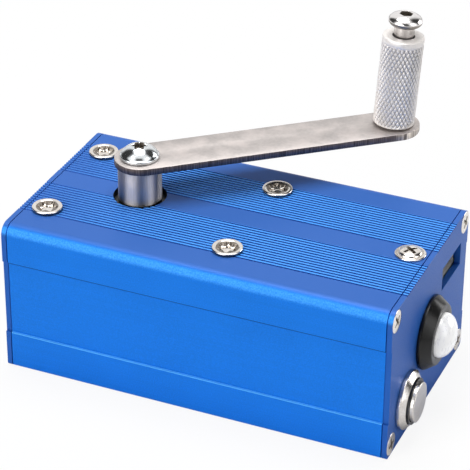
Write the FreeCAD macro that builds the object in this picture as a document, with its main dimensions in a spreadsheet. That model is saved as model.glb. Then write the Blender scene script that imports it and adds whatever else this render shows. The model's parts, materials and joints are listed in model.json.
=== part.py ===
import FreeCAD, Part
import math
import os
import re
import Sketcher

# Hand crank generator: an extruded case with two end plates, a spur gearbox and
# a small generator inside, a crank on top, and a lamp, a switch and a USB socket
# in the right end plate.
# Frame: origin at the centre of the case's underside, +X along the case towards
# the lamp, +Z up. Lengths are in millimetres and angles in degrees.

SIZES = {
    # case and end plates
    "case_length": 100.0,
    "case_width": 54.6,
    "case_height": 40.0,
    "wall": 1.8,
    "top_edge_radius": 3.0,
    "bottom_edge_radius": 1.0,
    "panel_low": 10.0,
    "panel_high": 30.0,
    "panel_depth": 0.45,
    "groove_count": 14,
    "groove_pitch": 1.077,
    "groove_width": 0.6,
    "groove_depth": 0.3,
    "groove_first": 3.7,
    "plate_thickness": 1.5,
    "plate_step": 0.25,
    "plate_step_inset": 0.6,
    # corner screws of the end plates, and the bosses that take them
    "corner_side_inset": 2.8,
    "corner_top_inset": 3.0,
    "boss_radius": 2.75,
    "corner_screw_radius": 1.5,
    "corner_screw_length": 10.0,
    "corner_head_radius": 2.8,
    "corner_head_proud": 0.2,
    "countersink_clearance": 0.05,
    "cross_recess_depth": 0.9,
    # crank
    "crank_hole_radius": 6.6,
    "hub_radius": 5.4,
    "hub_seat_clearance": 0.1,
    "shaft_radius": 3.0,
    "shaft_grip": 6.0,
    "arm_angle": 40.0,
    "arm_reach": 65.7,
    "arm_width": 13.2,
    "arm_thickness": 1.8,
    "arm_underside": 8.7,
    "arm_end_offset": 0.4,
    "crank_screw_radius": 2.5,
    "crank_screw_length": 6.0,
    "crank_head_radius": 4.85,
    "crank_head_height": 3.45,
    "crank_head_rim": 0.9,
    # handle
    "handle_lean": 4.0,
    "handle_clearance": 0.06,
    "sleeve_radius": 5.25,
    "sleeve_bore_radius": 2.8,
    "sleeve_length": 23.6,
    "sleeve_chamfer": 0.45,
    "bolt_radius": 2.55,
    "bolt_float": 2.8,
    "bolt_head_radius": 4.27,
    "bolt_head_height": 3.0,
    "bolt_socket_radius": 1.7,
    "bolt_socket_depth": 1.5,
    # gearbox
    "gearbox_inset": 5.0,
    "gearbox_span": 47.7,
    "crank_offset": 17.6,
    "gearbox_half_width": 15.5,
    "gearbox_margin": 3.7,
    "gearbox_plate": 2.0,
    "pillar_length": 11.8,
    "pillar_radius": 3.5,
    "gearbox_screw_radius": 2.0,
    "screw_clearance": 0.15,
    "top_screw_length": 12.0,
    "lower_screw_length": 5.0,
    "screw_head_radius": 3.75,
    "screw_head_height": 0.9,
    "lower_head_height": 1.8,
    "star_radius": 1.9,
    "star_depth": 0.6,
    "running_clearance": 0.05,
    "bush_radius": 5.0,
    "bush_flange_radius": 6.2,
    "bush_flange": 0.5,
    "gear_module": 0.6,
    "gear_width": 2.8,
    "gear_gap": 0.6,
    "gear_backlash": 0.08,
    "crank_gear_teeth": 48,
    "first_pinion_teeth": 12,
    "first_wheel_teeth": 42,
    "second_pinion_teeth": 12,
    "second_wheel_teeth": 34,
    "motor_pinion_teeth": 10,
    "second_idler_angle": 128.0,
    "motor_angle": -80.0,
    "idler_pin_radius": 1.5,
    "idler_boss_radius": 2.6,
    "gear_sleeve_radius": 4.0,
    "face_clearance": 0.1,
    # generator
    "motor_radius": 12.2,
    "motor_length": 12.4,
    "motor_wall": 1.0,
    "motor_boss_radius": 3.5,
    "motor_boss_height": 1.5,
    "motor_shaft_radius": 1.0,
    "magnet_thickness": 1.8,
    "magnet_length": 8.0,
    "air_gap": 0.5,
    "armature_length": 7.0,
    "commutator_radius": 3.0,
    "commutator_length": 1.8,
    "end_cap_thickness": 1.2,
    "motor_screw_spread": 8.0,
    "motor_screw_angle": 60.0,
    "motor_terminal_length": 2.4,
    "motor_screw_radius": 1.0,
    "motor_screw_head": 1.9,
    # circuit board and what it carries
    "board_thickness": 1.6,
    "board_gap": 3.6,
    "board_usb_gap": 0.3,
    "board_side_clearance": 0.2,
    "rail_depth": 1.5,
    "rail_height": 1.5,
    "bracket_thickness": 1.8,
    "bracket_width": 9.0,
    "bracket_web_offset": 7.8,
    "bracket_foot_length": 9.6,
    "bracket_screw_inset": 4.1,
    "bracket_screw_length": 6.0,
    "board_screw_inset": 4.0,
    "board_screw_radius": 1.5,
    "board_screw_head": 2.75,
    "capacitor_radius": 4.0,
    "capacitor_clearance": 0.6,
    "capacitor_spacing": 8.5,
    "component_gap": 0.6,
    "inductor_radius": 5.0,
    "inductor_height": 6.0,
    "chip_length": 4.0,
    "chip_width": 5.0,
    "chip_height": 1.6,
    "diode_length": 4.6,
    "diode_width": 2.7,
    "diode_height": 2.2,
    # USB socket
    "usb_side_inset": 12.0,
    "usb_z": 29.5,
    "usb_slot_width": 13.8,
    "usb_slot_height": 6.1,
    "usb_width": 13.3,
    "usb_height": 5.8,
    "usb_depth": 14.0,
    "usb_setback": 0.2,
    "usb_sheet": 0.35,
    "usb_tongue_width": 11.4,
    "usb_tongue_thickness": 1.8,
    "usb_tongue_drop": 0.5,
    "usb_tongue_setback": 2.7,
    "usb_block_depth": 3.3,
    "usb_contact_width": 1.0,
    "usb_contact_thickness": 0.25,
    "usb_contact_pitch": 2.3,
    # lamp
    "lamp_z": 19.8,
    "lamp_thread_radius": 7.0,
    "lamp_depth": 8.0,
    "bezel_radius": 9.25,
    "bezel_rim_radius": 7.5,
    "bezel_edge": 0.8,
    "bezel_height": 3.3,
    "bezel_mouth_radius": 5.7,
    "bezel_lip": 1.0,
    "lamp_bore_radius": 6.3,
    "lens_collar": 1.0,
    "lens_radius": 5.6,
    "lens_dome": 3.6,
    "led_board_thickness": 1.2,
    "led_radius": 1.75,
    "reflector_length": 4.2,
    "reflector_wall": 0.5,
    "retainer_length": 1.5,
    "lamp_nut_flats": 17.0,
    "nut_thickness": 2.0,
    # switch
    "switch_side_inset": 12.3,
    "switch_z": 9.8,
    "switch_thread_radius": 6.0,
    "switch_depth": 11.5,
    "switch_flange_radius": 7.35,
    "switch_flange_edge": 1.0,
    "switch_flange_height": 2.1,
    "switch_face_radius": 5.95,
    "switch_ring_radius": 5.7,
    "switch_ring_length": 2.1,
    "switch_ring_proud": 0.5,
    "switch_bore_radius": 5.05,
    "switch_cap_clearance": 0.1,
    "switch_cap_proud": 3.6,
    "switch_cap_length": 9.0,
    "switch_cap_chamfer": 0.25,
    "switch_back_wall": 2.5,
    "switch_base_length": 3.0,
    "switch_nut_flats": 14.0,
    "terminal_width": 2.0,
    "terminal_thickness": 0.5,
    "terminal_length": 4.5,
}

DERIVED = {
    "body_half": "case_length / 2 - plate_thickness",
    "plate_face": "case_length / 2",
    "half_width": "case_width / 2",
    "roof": "case_height - wall",
    "gearbox_left": "gearbox_inset - body_half",
    "gearbox_right": "gearbox_left + gearbox_span",
    "crank_x": "gearbox_left + crank_offset",
    "usb_y": "half_width - usb_side_inset",
    "switch_y": "switch_side_inset - half_width",
    "corner_y": "half_width - corner_side_inset",
    "corner_high": "case_height - corner_top_inset",
    "arm_low": "case_height + arm_underside",
    "arm_top": "arm_low + arm_thickness",
    "hub_low": "roof + hub_seat_clearance",
    "shaft_top": "hub_low + shaft_grip",
    "top_plate_low": "roof - gearbox_plate",
    "bottom_plate_top": "top_plate_low - pillar_length",
    "bottom_plate_low": "bottom_plate_top - gearbox_plate",
    "level_a": "top_plate_low - gear_gap - gear_width",
    "level_b": "level_a - gear_gap - gear_width",
    "level_c": "level_b - gear_gap - gear_width",
    "first_x": "crank_x + gear_module * (crank_gear_teeth + first_pinion_teeth) / 2",
    "second_distance": "gear_module * (first_wheel_teeth + second_pinion_teeth) / 2",
    "second_x": "first_x + second_distance * cos(second_idler_angle)",
    "second_y": "second_distance * sin(second_idler_angle)",
    "motor_distance": "gear_module * (second_wheel_teeth + motor_pinion_teeth) / 2",
    "motor_x": "second_x + motor_distance * cos(motor_angle)",
    "motor_y": "second_y + motor_distance * sin(motor_angle)",
    "motor_low": "bottom_plate_low - motor_length",
    "magnet_low": "motor_low + (motor_length - motor_wall - magnet_length) / 2 + 0.5",
    "armature_radius": "motor_radius - motor_wall - magnet_thickness - air_gap",
    "armature_low": "magnet_low + (magnet_length - armature_length) / 2",
    "board_top": "usb_z - usb_height / 2",
    "board_low": "board_top - board_thickness",
    "board_left": "gearbox_right + gearbox_margin + board_gap",
    "board_right": "usb_back - board_usb_gap",
    "board_edge": "half_width - wall - rail_depth",
    "bracket_screw_x": "body_half - bracket_screw_inset",
    "bracket_web_x": "bracket_screw_x - bracket_web_offset",
    "bracket_foot_left": "bracket_web_x - bracket_foot_length",
    "board_screw_x": "bracket_foot_left + board_screw_inset",
    "capacitor_top": "roof - capacitor_clearance",
    "board_half": "half_width - wall - board_side_clearance",
    "usb_front": "body_half - usb_setback",
    "usb_back": "usb_front - usb_depth",
    "bezel_face": "plate_face + bezel_height",
    "lens_seat": "bezel_face - bezel_lip",
    "reflector_back": "lens_seat - lens_collar - reflector_length",
    "led_board_back": "reflector_back - led_board_thickness",
    "switch_back": "body_half - switch_depth",
    "ring_back": "plate_face + switch_flange_height + switch_ring_proud - switch_ring_length",
    "handle_seat": "sleeve_radius * sin(handle_lean) + handle_clearance",
    "bolt_shoulder": "handle_seat + sleeve_length + bolt_float",
}

X_AXIS = FreeCAD.Vector(1, 0, 0)
Y_AXIS = FreeCAD.Vector(0, 1, 0)
Z_AXIS = FreeCAD.Vector(0, 0, 1)
ORIGIN = FreeCAD.Vector(0, 0, 0)
UPRIGHT = FreeCAD.Rotation()
FACING_RIGHT = FreeCAD.Rotation(Y_AXIS, 90)
FACING_LEFT = FreeCAD.Rotation(Y_AXIS, -90)
HALF_TURN = FreeCAD.Rotation(Z_AXIS, 180)
OVERCUT = 1.0

doc = FreeCAD.newDocument("hand_crank_generator")
sizes = doc.addObject("Spreadsheet::Sheet", "sizes")
nodes = []


def fill_sheet():
    """Write every driving size into the sheet, with its name as the alias."""
    for row, (name, number) in enumerate(SIZES.items(), start=1):
        sizes.set(f"A{row}", name)
        sizes.set(f"B{row}", str(number))
        sizes.setAlias(f"B{row}", name)
    doc.recompute()


def formula(text):
    """Spell out derived names and point each size at its cell."""

    def spell(match):
        word = match.group()
        if word in DERIVED:
            return "(" + formula(DERIVED[word]) + ")"
        return "sizes." + word if word in SIZES else word

    return re.sub(r"[a-z][a-z_]*", spell, str(text))


def value(text):
    """Return the number that an expression of the sheet gives."""
    return float(sizes.evalExpression(formula(text)))


def bind(target, path, text):
    """Bind one property to an expression of the sheet."""
    target.setExpression(path, formula(text))


def place(piece, x="0", y="0", z="0", rotation=UPRIGHT):
    """Turn a piece, and bind its position to the sheet."""
    piece.Placement = FreeCAD.Placement(ORIGIN, rotation)
    for axis, text in zip("xyz", (x, y, z)):
        bind(piece, f"Placement.Base.{axis}", text)


def keep(piece, label):
    """Name a finished piece and list it for export."""
    piece.Label = label
    nodes.append(piece)
    return piece


# sketches


def new_sketch(body, name, role="XY_Plane", offset="0"):
    """Attach a sketch to one of the body's origin planes, moved along its normal."""
    plane = next(item for item in body.Origin.OriginFeatures if item.Role == role)
    sketch = body.newObject("Sketcher::SketchObject", name)
    sketch.AttachmentSupport = (plane, [""])
    sketch.MapMode = "FlatFace"
    bind(sketch, "AttachmentOffset.Base.z", offset)
    return sketch


def pin_point(sketch, geometry, point, x, y):
    """Fix a point of the sketch at two expressions, measured from its origin."""
    for kind, text, axis in (("DistanceX", x, -2), ("DistanceY", y, -1)):
        if text == "0":
            sketch.addConstraint(Sketcher.Constraint("PointOnObject", geometry, point, axis))
            continue
        index = sketch.addConstraint(
            Sketcher.Constraint(kind, -1, 1, geometry, point, value(text))
        )
        bind(sketch, f"Constraints[{index}]", text)


def draw_circle(sketch, radius, x="0", y="0"):
    """Add a circle whose radius and centre follow the sheet."""
    centre = FreeCAD.Vector(value(x), value(y), 0)
    index = sketch.addGeometry(Part.Circle(centre, Z_AXIS, value(radius)))
    pin_point(sketch, index, 3, x, y)
    constraint = sketch.addConstraint(Sketcher.Constraint("Radius", index, value(radius)))
    bind(sketch, f"Constraints[{constraint}]", radius)


def draw_outline(sketch, points):
    """Add a closed outline of straight lines through points given as expressions."""
    corners = [FreeCAD.Vector(value(x), value(y), 0) for x, y in points]
    first = sketch.GeometryCount
    total = len(points)
    for index in range(total):
        sketch.addGeometry(Part.LineSegment(corners[index], corners[(index + 1) % total]))
    for index, (x, y) in enumerate(points):
        before = first + (index - 1) % total
        sketch.addConstraint(Sketcher.Constraint("Coincident", before, 2, first + index, 1))
        pin_point(sketch, first + index, 1, x, y)


def draw_rectangle(sketch, low_x, low_y, high_x, high_y):
    """Add a rectangle between two corners given as expressions."""
    corners = [(low_x, low_y), (high_x, low_y), (high_x, high_y), (low_x, high_y)]
    draw_outline(sketch, corners)


# features


def new_body(label):
    """Start a body that is a piece of the generator."""
    return keep(doc.addObject("PartDesign::Body", label), label)


def pad(body, sketch, length):
    """Raise a sketch along its normal."""
    feature = body.newObject("PartDesign::Pad", sketch.Name + "_pad")
    feature.Profile = sketch
    bind(feature, "Length", length)
    return feature


def pocket(body, sketch, depth=None, forward=False):
    """Cut a sketch to a depth, or right through, and check that it removed something."""
    doc.recompute()
    before = body.Shape.Volume
    feature = body.newObject("PartDesign::Pocket", sketch.Name + "_pocket")
    feature.Profile = sketch
    feature.Reversed = forward
    if depth is None:
        feature.Type = "ThroughAll"
    else:
        bind(feature, "Length", depth)
    doc.recompute()
    if before - feature.Shape.Volume < 1e-6:
        raise RuntimeError(f"{feature.Name} cuts nothing")
    return feature


def turned(body, name, points):
    """Revolve an outline of (radius, height) points about the body's Z axis."""
    sketch = new_sketch(body, name, "XZ_Plane")
    draw_outline(sketch, points)
    feature = body.newObject("PartDesign::Revolution", name + "_turned")
    feature.Profile = sketch
    feature.ReferenceAxis = (sketch, ["V_Axis"])
    feature.Angle = 360
    return feature


def edges_of(feature, wanted):
    """Return the names of the edges that a test picks."""
    doc.recompute()
    edges = enumerate(feature.Shape.Edges, start=1)
    return [f"Edge{index}" for index, edge in edges if wanted(edge)]


def round_edges(body, feature, wanted, radius, name):
    """Fillet the edges that a test picks."""
    names = edges_of(feature, wanted)
    fillet = body.newObject("PartDesign::Fillet", name)
    fillet.Base = (feature, names)
    bind(fillet, "Radius", radius)
    return fillet


def drill(body, name, radius, places, role="XY_Plane", offset="0", forward=False, depth=None):
    """Cut one round hole at each (x, y) of the sketch."""
    sketch = new_sketch(body, name, role, offset)
    for x, y in places:
        draw_circle(sketch, radius, x, y)
    return pocket(body, sketch, depth, forward)


def star_recess(body, name, top):
    """Sink a six-lobed driver recess into a head whose top is at the given height."""
    core = new_sketch(body, name + "_core", offset=top)
    draw_circle(core, "star_radius * 0.72")
    pocket(body, core, "star_depth")
    lobe = new_sketch(body, name + "_lobe", offset=top)
    draw_circle(lobe, "star_radius * 0.24", "star_radius * 0.76")
    cut = pocket(body, lobe, "star_depth")
    ring = body.newObject("PartDesign::PolarPattern", name + "_lobes")
    ring.Originals = [cut]
    ring.Axis = (lobe, ["N_Axis"])
    ring.Angle = 360
    ring.Occurrences = 6
    body.Tip = ring


def cross_recess(body, name, top, reach, width, depth):
    """Sink a cross-shaped driver recess into a head."""
    for part, (x, y) in enumerate(((reach, width), (width, reach))):
        sketch = new_sketch(body, f"{name}_{part}", offset=top)
        draw_rectangle(sketch, f"-({x})", f"-({y})", x, y)
        pocket(body, sketch, depth)


def hexagon(sketch, corner_radius):
    """Draw a hexagon with two flats square to the sketch's Y axis."""
    points = []
    for step in range(6):
        angle = 60 * step
        y = "0" if step in (0, 3) else f"({corner_radius}) * sin({angle})"
        points.append((f"({corner_radius}) * cos({angle})", y))
    draw_outline(sketch, points)


# plain solids and groups


def box(name, x, y, z):
    """Make a box from (low, high) pairs along each axis."""
    piece = doc.addObject("Part::Box", name)
    for side, (low, high) in zip(("Length", "Width", "Height"), (x, y, z)):
        bind(piece, side, f"({high}) - ({low})")
    place(piece, x[0], y[0], z[0])
    return piece


def cylinder(name, radius, low, high, x="0", y="0"):
    """Make an upright cylinder between two heights."""
    piece = doc.addObject("Part::Cylinder", name)
    bind(piece, "Radius", radius)
    bind(piece, "Height", f"({high}) - ({low})")
    place(piece, x, y, low)
    return piece


def cone(name, low_radius, high_radius, low, high):
    """Make an upright cone between two heights."""
    piece = doc.addObject("Part::Cone", name)
    bind(piece, "Radius1", low_radius)
    bind(piece, "Radius2", high_radius)
    bind(piece, "Height", f"({high}) - ({low})")
    place(piece, z=low)
    return piece


def fuse(name, pieces):
    """Join plain solids into one."""
    joined = doc.addObject("Part::MultiFuse", name)
    joined.Shapes = pieces
    return joined


def cut(name, base, tool):
    """Take one plain solid from another."""
    result = doc.addObject("Part::Cut", name)
    result.Base = base
    result.Tool = tool
    return result


def group(label, template, placements):
    """Repeat one template as a node of separate solids."""
    doc.recompute()
    shapes = []
    for placement in placements:
        shape = template.Shape.copy()
        shape.Placement = placement.multiply(shape.Placement)
        shapes.append(shape)
    piece = doc.addObject("Part::Feature", label)
    piece.Shape = Part.makeCompound(shapes)
    return keep(piece, label)


def at(x, y, z, rotation=UPRIGHT):
    """Return a placement at expressions of the sheet."""
    return FreeCAD.Placement(FreeCAD.Vector(value(x), value(y), value(z)), rotation)


# case


def section_points(inset="0"):
    """Return the outline of the extrusion, seen along X, drawn in by an inset."""
    side = f"half_width - ({inset})"
    panel = f"half_width - panel_depth - ({inset})"
    top = f"case_height - ({inset})"
    low = inset if inset == "0" else f"({inset})"
    right = [
        (side, low),
        (side, "panel_low"),
        (panel, "panel_low"),
        (panel, "panel_high"),
        (side, "panel_high"),
        (side, top),
    ]
    left = [(f"-({y})", z) for y, z in reversed(right)]
    return right + left


def is_long_edge(edge, height):
    """Tell whether an edge runs along X at a height, at the case's full width."""
    points = [vertex.Point for vertex in edge.Vertexes]
    if len(points) != 2 or abs(points[0].x - points[1].x) < 0.1:
        return False
    at_side = all(abs(abs(point.y) - value("half_width")) < 1e-3 for point in points)
    return at_side and all(abs(point.z - height) < 1e-3 for point in points)


def round_long_edges(body, feature, name):
    """Round the two long top edges and the two long bottom edges."""
    high = value("case_height")
    top = round_edges(
        body, feature, lambda edge: is_long_edge(edge, high), "top_edge_radius", name + "_top"
    )
    return round_edges(
        body, top, lambda edge: is_long_edge(edge, 0), "bottom_edge_radius", name + "_bottom"
    )


def groove_bands(body, name, front):
    """Cut the two bands of fine grooves along X into the top, back from a face."""
    sketch = new_sketch(body, name, "YZ_Plane", front)
    last = "groove_first + groove_pitch * (groove_count - 1)"
    for centre in (f"-({last})", "groove_first"):
        points = [
            (f"({centre}) - groove_width / 2", "case_height"),
            (f"({centre}) - groove_width / 4", "case_height - groove_depth"),
            (f"({centre}) + groove_width / 4", "case_height - groove_depth"),
            (f"({centre}) + groove_width / 2", "case_height"),
        ]
        draw_outline(sketch, points)
    first = pocket(body, sketch)
    pattern = body.newObject("PartDesign::LinearPattern", name + "_bands")
    pattern.Originals = [first]
    pattern.Direction = (sketch, ["H_Axis"])
    bind(pattern, "Length", "groove_pitch * (groove_count - 1)")
    bind(pattern, "Occurrences", "groove_count")
    body.Tip = pattern
    return pattern


CORNERS = [
    (f"{side}(corner_y)", height)
    for side in ("", "-")
    for height in ("corner_top_inset", "corner_high")
]
TOP_SCREW_PLACES = [
    (x, f"{side}gearbox_half_width")
    for x in ("gearbox_left", "gearbox_right")
    for side in ("-", "")
]


def make_case_body():
    """The extruded case, open at both ends."""
    body = new_body("case_body")
    outline = new_sketch(body, "case_outline", "YZ_Plane", "-(body_half)")
    draw_outline(outline, section_points())
    skin = pad(body, outline, "2 * body_half")
    round_long_edges(body, skin, "case_edges")
    cavity = new_sketch(body, "case_cavity", "YZ_Plane", "body_half")
    draw_rectangle(cavity, "-(half_width - wall)", "wall", "half_width - wall", "roof")
    pocket(body, cavity)
    bosses = new_sketch(body, "case_bosses", "YZ_Plane", "-(body_half)")
    for y, z in CORNERS:
        draw_circle(bosses, "boss_radius", y, z)
    pad(body, bosses, "2 * body_half")
    rails = new_sketch(body, "case_rails", "YZ_Plane", "-(body_half)")
    rail_gap = "board_top + face_clearance"
    for side in ("", "-"):
        inner = f"{side}(half_width - wall - rail_depth)"
        outer = f"{side}(half_width - wall / 2)"
        draw_rectangle(rails, inner, "board_low - rail_height", outer, "board_low")
        draw_rectangle(rails, inner, rail_gap, outer, f"{rail_gap} + rail_height")
    pad(body, rails, "2 * body_half")
    drill(body, "case_boss_holes", "corner_screw_radius", CORNERS, "YZ_Plane", "body_half")
    groove_bands(body, "case_groove", "body_half")
    above = f"case_height + {OVERCUT}"
    through_roof = f"wall + 2 * {OVERCUT}"
    drill(body, "crank_hole", "crank_hole_radius", [("crank_x", "0")], offset=above,
          depth=through_roof)
    places = TOP_SCREW_PLACES + [("bracket_screw_x", "0")]
    drill(body, "top_screw_holes", "gearbox_screw_radius + screw_clearance", places,
          offset=above, depth=through_roof)


def make_end_plate(label, right):
    """One end plate, modelled with its inner face at x = 0."""
    body = new_body(label)
    step = new_sketch(body, label + "_step", "YZ_Plane")
    inset = "plate_step_inset"
    draw_rectangle(step, f"-(half_width - {inset})", inset, f"half_width - {inset}",
                   f"case_height - {inset}")
    rounded = round_step_corners(body, pad(body, step, "plate_step"), label)
    face = new_sketch(body, label + "_face", "YZ_Plane", "plate_step")
    draw_outline(face, section_points())
    skin = pad(body, face, "plate_thickness - plate_step")
    skin.Refine = False
    round_long_edges(body, skin, label + "_edges")
    groove_bands(body, label + "_groove", "plate_thickness")
    countersink(body, label)
    if right:
        drill(body, "lamp_hole", "lamp_thread_radius", [("0", "lamp_z")], "YZ_Plane",
              "plate_thickness")
        drill(body, "switch_hole", "switch_thread_radius", [("switch_y", "switch_z")],
              "YZ_Plane", "plate_thickness")
        slot = new_sketch(body, "usb_slot", "YZ_Plane", "plate_thickness")
        draw_rectangle(slot, "usb_y - usb_slot_width / 2", "usb_z - usb_slot_height / 2",
                       "usb_y + usb_slot_width / 2", "usb_z + usb_slot_height / 2")
        pocket(body, slot)
        place(body, x="body_half")
    else:
        place(body, x="-(body_half)", rotation=HALF_TURN)
    return rounded


def round_step_corners(body, feature, label):
    """Round the corners of the stepped inner face, so that it stays inside the outline."""

    def is_corner(edge):
        points = [vertex.Point for vertex in edge.Vertexes]
        return abs(points[0].x - points[1].x) > 0.1 * value("plate_step")

    return round_edges(body, feature, is_corner, "top_edge_radius", label + "_step_corners")


def countersink(body, label):
    """Four countersunk screw holes at the corners of a plate."""
    sketch = new_sketch(body, label + "_holes", "YZ_Plane", "plate_thickness")
    for y, z in CORNERS:
        draw_circle(sketch, "corner_screw_radius", y, z)
    doc.recompute()
    hole = body.newObject("PartDesign::Hole", label + "_countersink")
    hole.Profile = sketch
    hole.DepthType = "ThroughAll"
    hole.HoleCutType = "Countersink"
    hole.HoleCutCustomValues = True
    hole.HoleCutCountersinkAngle = 90
    bind(hole, "Diameter", "2 * (corner_screw_radius + countersink_clearance)")
    bind(hole, "HoleCutDiameter", "2 * (corner_head_radius + countersink_clearance)")


def make_plate_screws():
    """Countersunk cross-recess screws of both end plates."""
    template = doc.addObject("PartDesign::Body", "corner_screw")
    top = "corner_screw_length + corner_head_proud"
    points = [
        ("0", "0"),
        ("corner_screw_radius", "0"),
        ("corner_screw_radius",
         "corner_screw_length - (corner_head_radius - corner_screw_radius)"),
        ("corner_head_radius", "corner_screw_length"),
        ("corner_head_radius", f"{top} - corner_head_proud / 2"),
        ("corner_head_radius - corner_head_proud / 2", top),
        ("0", top),
    ]
    turned(template, "corner_screw_outline", points)
    cross_recess(template, "corner_screw_recess", top, "corner_head_radius * 0.6",
                 "corner_head_radius * 0.14", "cross_recess_depth")
    tip = "plate_face - corner_screw_length"
    right = [at(tip, y, z, FACING_RIGHT) for y, z in CORNERS]
    left = [at(f"-({tip})", y, z, FACING_LEFT) for y, z in CORNERS]
    group("right_plate_screws", template, right)
    group("left_plate_screws", template, left)


def headed_screw(name, radius, length, head_radius, head_height):
    """A screw with a low flat head, its underside at the height of its length."""
    body = doc.addObject("PartDesign::Body", name)
    top = f"{length} + {head_height}"
    points = [
        ("0", "0"),
        (radius, "0"),
        (radius, length),
        (head_radius, length),
        (head_radius, f"{length} + {head_height} * 0.55"),
        (f"{head_radius} * 0.93", top),
        ("0", top),
    ]
    turned(body, name + "_outline", points)
    return body, top


def make_top_screws():
    """Four star-recess screws of the gearbox, and the cross-recess one of the bracket."""
    gearbox, top = headed_screw("gearbox_screw", "gearbox_screw_radius", "top_screw_length",
                                "screw_head_radius", "screw_head_height")
    star_recess(gearbox, "gearbox_screw_star", top)
    places = [at(x, y, "case_height - top_screw_length") for x, y in TOP_SCREW_PLACES]
    group("gearbox_screws", gearbox, places)
    bracket, top = headed_screw("bracket_screw", "gearbox_screw_radius",
                                "bracket_screw_length", "screw_head_radius",
                                "screw_head_height")
    cross_recess(bracket, "bracket_screw_cross", top, "screw_head_radius * 0.5",
                 "screw_head_radius * 0.13", "star_depth")
    place(bracket, "bracket_screw_x", "0", "case_height - bracket_screw_length")
    keep(bracket, "bracket_screw")


# crank and handle


def make_crank_hub():
    """The steel hub: it grips the shaft below and takes the crank screw above."""
    body = new_body("crank_hub")
    rim = "0.4"
    points = [
        ("shaft_radius", "0"),
        (f"hub_radius - {rim}", "0"),
        ("hub_radius", rim),
        ("hub_radius", "arm_low - hub_low"),
        ("crank_screw_radius", "arm_low - hub_low"),
        ("crank_screw_radius", "shaft_grip"),
        ("shaft_radius", "shaft_grip"),
    ]
    turned(body, "crank_hub_outline", points)
    place(body, "crank_x", "0", "hub_low")


def lean_rotation():
    """Turn from upright to the handle's axis, which leans outwards along the arm."""
    arm = FreeCAD.Rotation(Z_AXIS, value("arm_angle"))
    lean = FreeCAD.Rotation(Y_AXIS, value("handle_lean"))
    return arm.multiply(lean)


def make_crank_arm():
    """A flat steel bar with round ends, modelled with the crank axis at its origin."""
    body = new_body("crank_arm")
    bar = new_sketch(body, "arm_bar")
    draw_rectangle(bar, "arm_end_offset", "-(arm_width / 2)", "arm_reach", "arm_width / 2")
    pad(body, bar, "arm_thickness")
    for name, x in (("arm_hub_end", "arm_end_offset"), ("arm_handle_end", "arm_reach")):
        end = new_sketch(body, name)
        draw_circle(end, "arm_width / 2", x)
        pad(body, end, "arm_thickness")
    drill(body, "arm_screw_hole", "crank_screw_radius", [("0", "0")], offset="arm_thickness")
    handle_hole = body.newObject("PartDesign::SubtractiveCylinder", "arm_handle_hole")
    bind(handle_hole, "Radius", "bolt_radius")
    bind(handle_hole, "Height", "4 * arm_thickness")
    leaned = FreeCAD.Rotation(Y_AXIS, value("handle_lean"))
    place(handle_hole, "arm_reach - 3 * arm_thickness * sin(handle_lean)", "0",
          "arm_thickness - 3 * arm_thickness * cos(handle_lean)", leaned)
    place(body, "crank_x", "0", "arm_low", FreeCAD.Rotation(Z_AXIS, value("arm_angle")))


def make_crank_screw():
    """The pan-head screw that holds the arm on the hub."""
    body = new_body("crank_screw")
    head = "crank_screw_length"
    points = [
        ("0", "0"),
        ("crank_screw_radius", "0"),
        ("crank_screw_radius", head),
        ("crank_head_radius", head),
        ("crank_head_radius", f"{head} + crank_head_rim"),
        ("crank_head_radius * 0.93", f"{head} + crank_head_height * 0.55"),
        ("crank_head_radius * 0.75", f"{head} + crank_head_height * 0.8"),
        ("crank_head_radius * 0.5", f"{head} + crank_head_height * 0.95"),
        ("crank_head_radius * 0.25", f"{head} + crank_head_height"),
        ("0", f"{head} + crank_head_height"),
    ]
    turned(body, "crank_screw_outline", points)
    star_recess(body, "crank_screw_star", f"{head} + crank_head_height")
    place(body, "crank_x", "0", "arm_top - crank_screw_length")


def place_on_handle(body):
    """Stand a piece on the leaned handle axis, from the top of the arm."""
    place(body, "crank_x + arm_reach * cos(arm_angle)", "arm_reach * sin(arm_angle)",
          "arm_top", lean_rotation())


def make_handle():
    """The knurled sleeve and the bolt that it turns on."""
    sleeve = new_body("handle_sleeve")
    low = "handle_seat"
    high = "handle_seat + sleeve_length"
    points = [
        ("sleeve_bore_radius", low),
        ("sleeve_radius - sleeve_chamfer", low),
        ("sleeve_radius", f"{low} + sleeve_chamfer"),
        ("sleeve_radius", f"{high} - sleeve_chamfer"),
        ("sleeve_radius - sleeve_chamfer", high),
        ("sleeve_bore_radius", high),
    ]
    turned(sleeve, "sleeve_outline", points)
    place_on_handle(sleeve)
    bolt = new_body("handle_bolt")
    top = "bolt_shoulder + bolt_head_height"
    points = [
        ("0", "-(0.9 * arm_thickness)"),
        ("bolt_radius", "-(0.9 * arm_thickness)"),
        ("bolt_radius", "bolt_shoulder"),
        ("bolt_head_radius * 0.75", "bolt_shoulder"),
        ("bolt_head_radius * 0.95", "bolt_shoulder + bolt_head_height * 0.2"),
        ("bolt_head_radius", "bolt_shoulder + bolt_head_height * 0.45"),
        ("bolt_head_radius * 0.95", "bolt_shoulder + bolt_head_height * 0.65"),
        ("bolt_head_radius * 0.75", "bolt_shoulder + bolt_head_height * 0.85"),
        ("bolt_head_radius * 0.5", top),
        ("0", top),
    ]
    turned(bolt, "bolt_outline", points)
    socket = new_sketch(bolt, "bolt_socket", offset=top)
    hexagon(socket, "bolt_socket_radius")
    pocket(bolt, socket, "bolt_socket_depth")
    place_on_handle(bolt)


# gearbox


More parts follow.
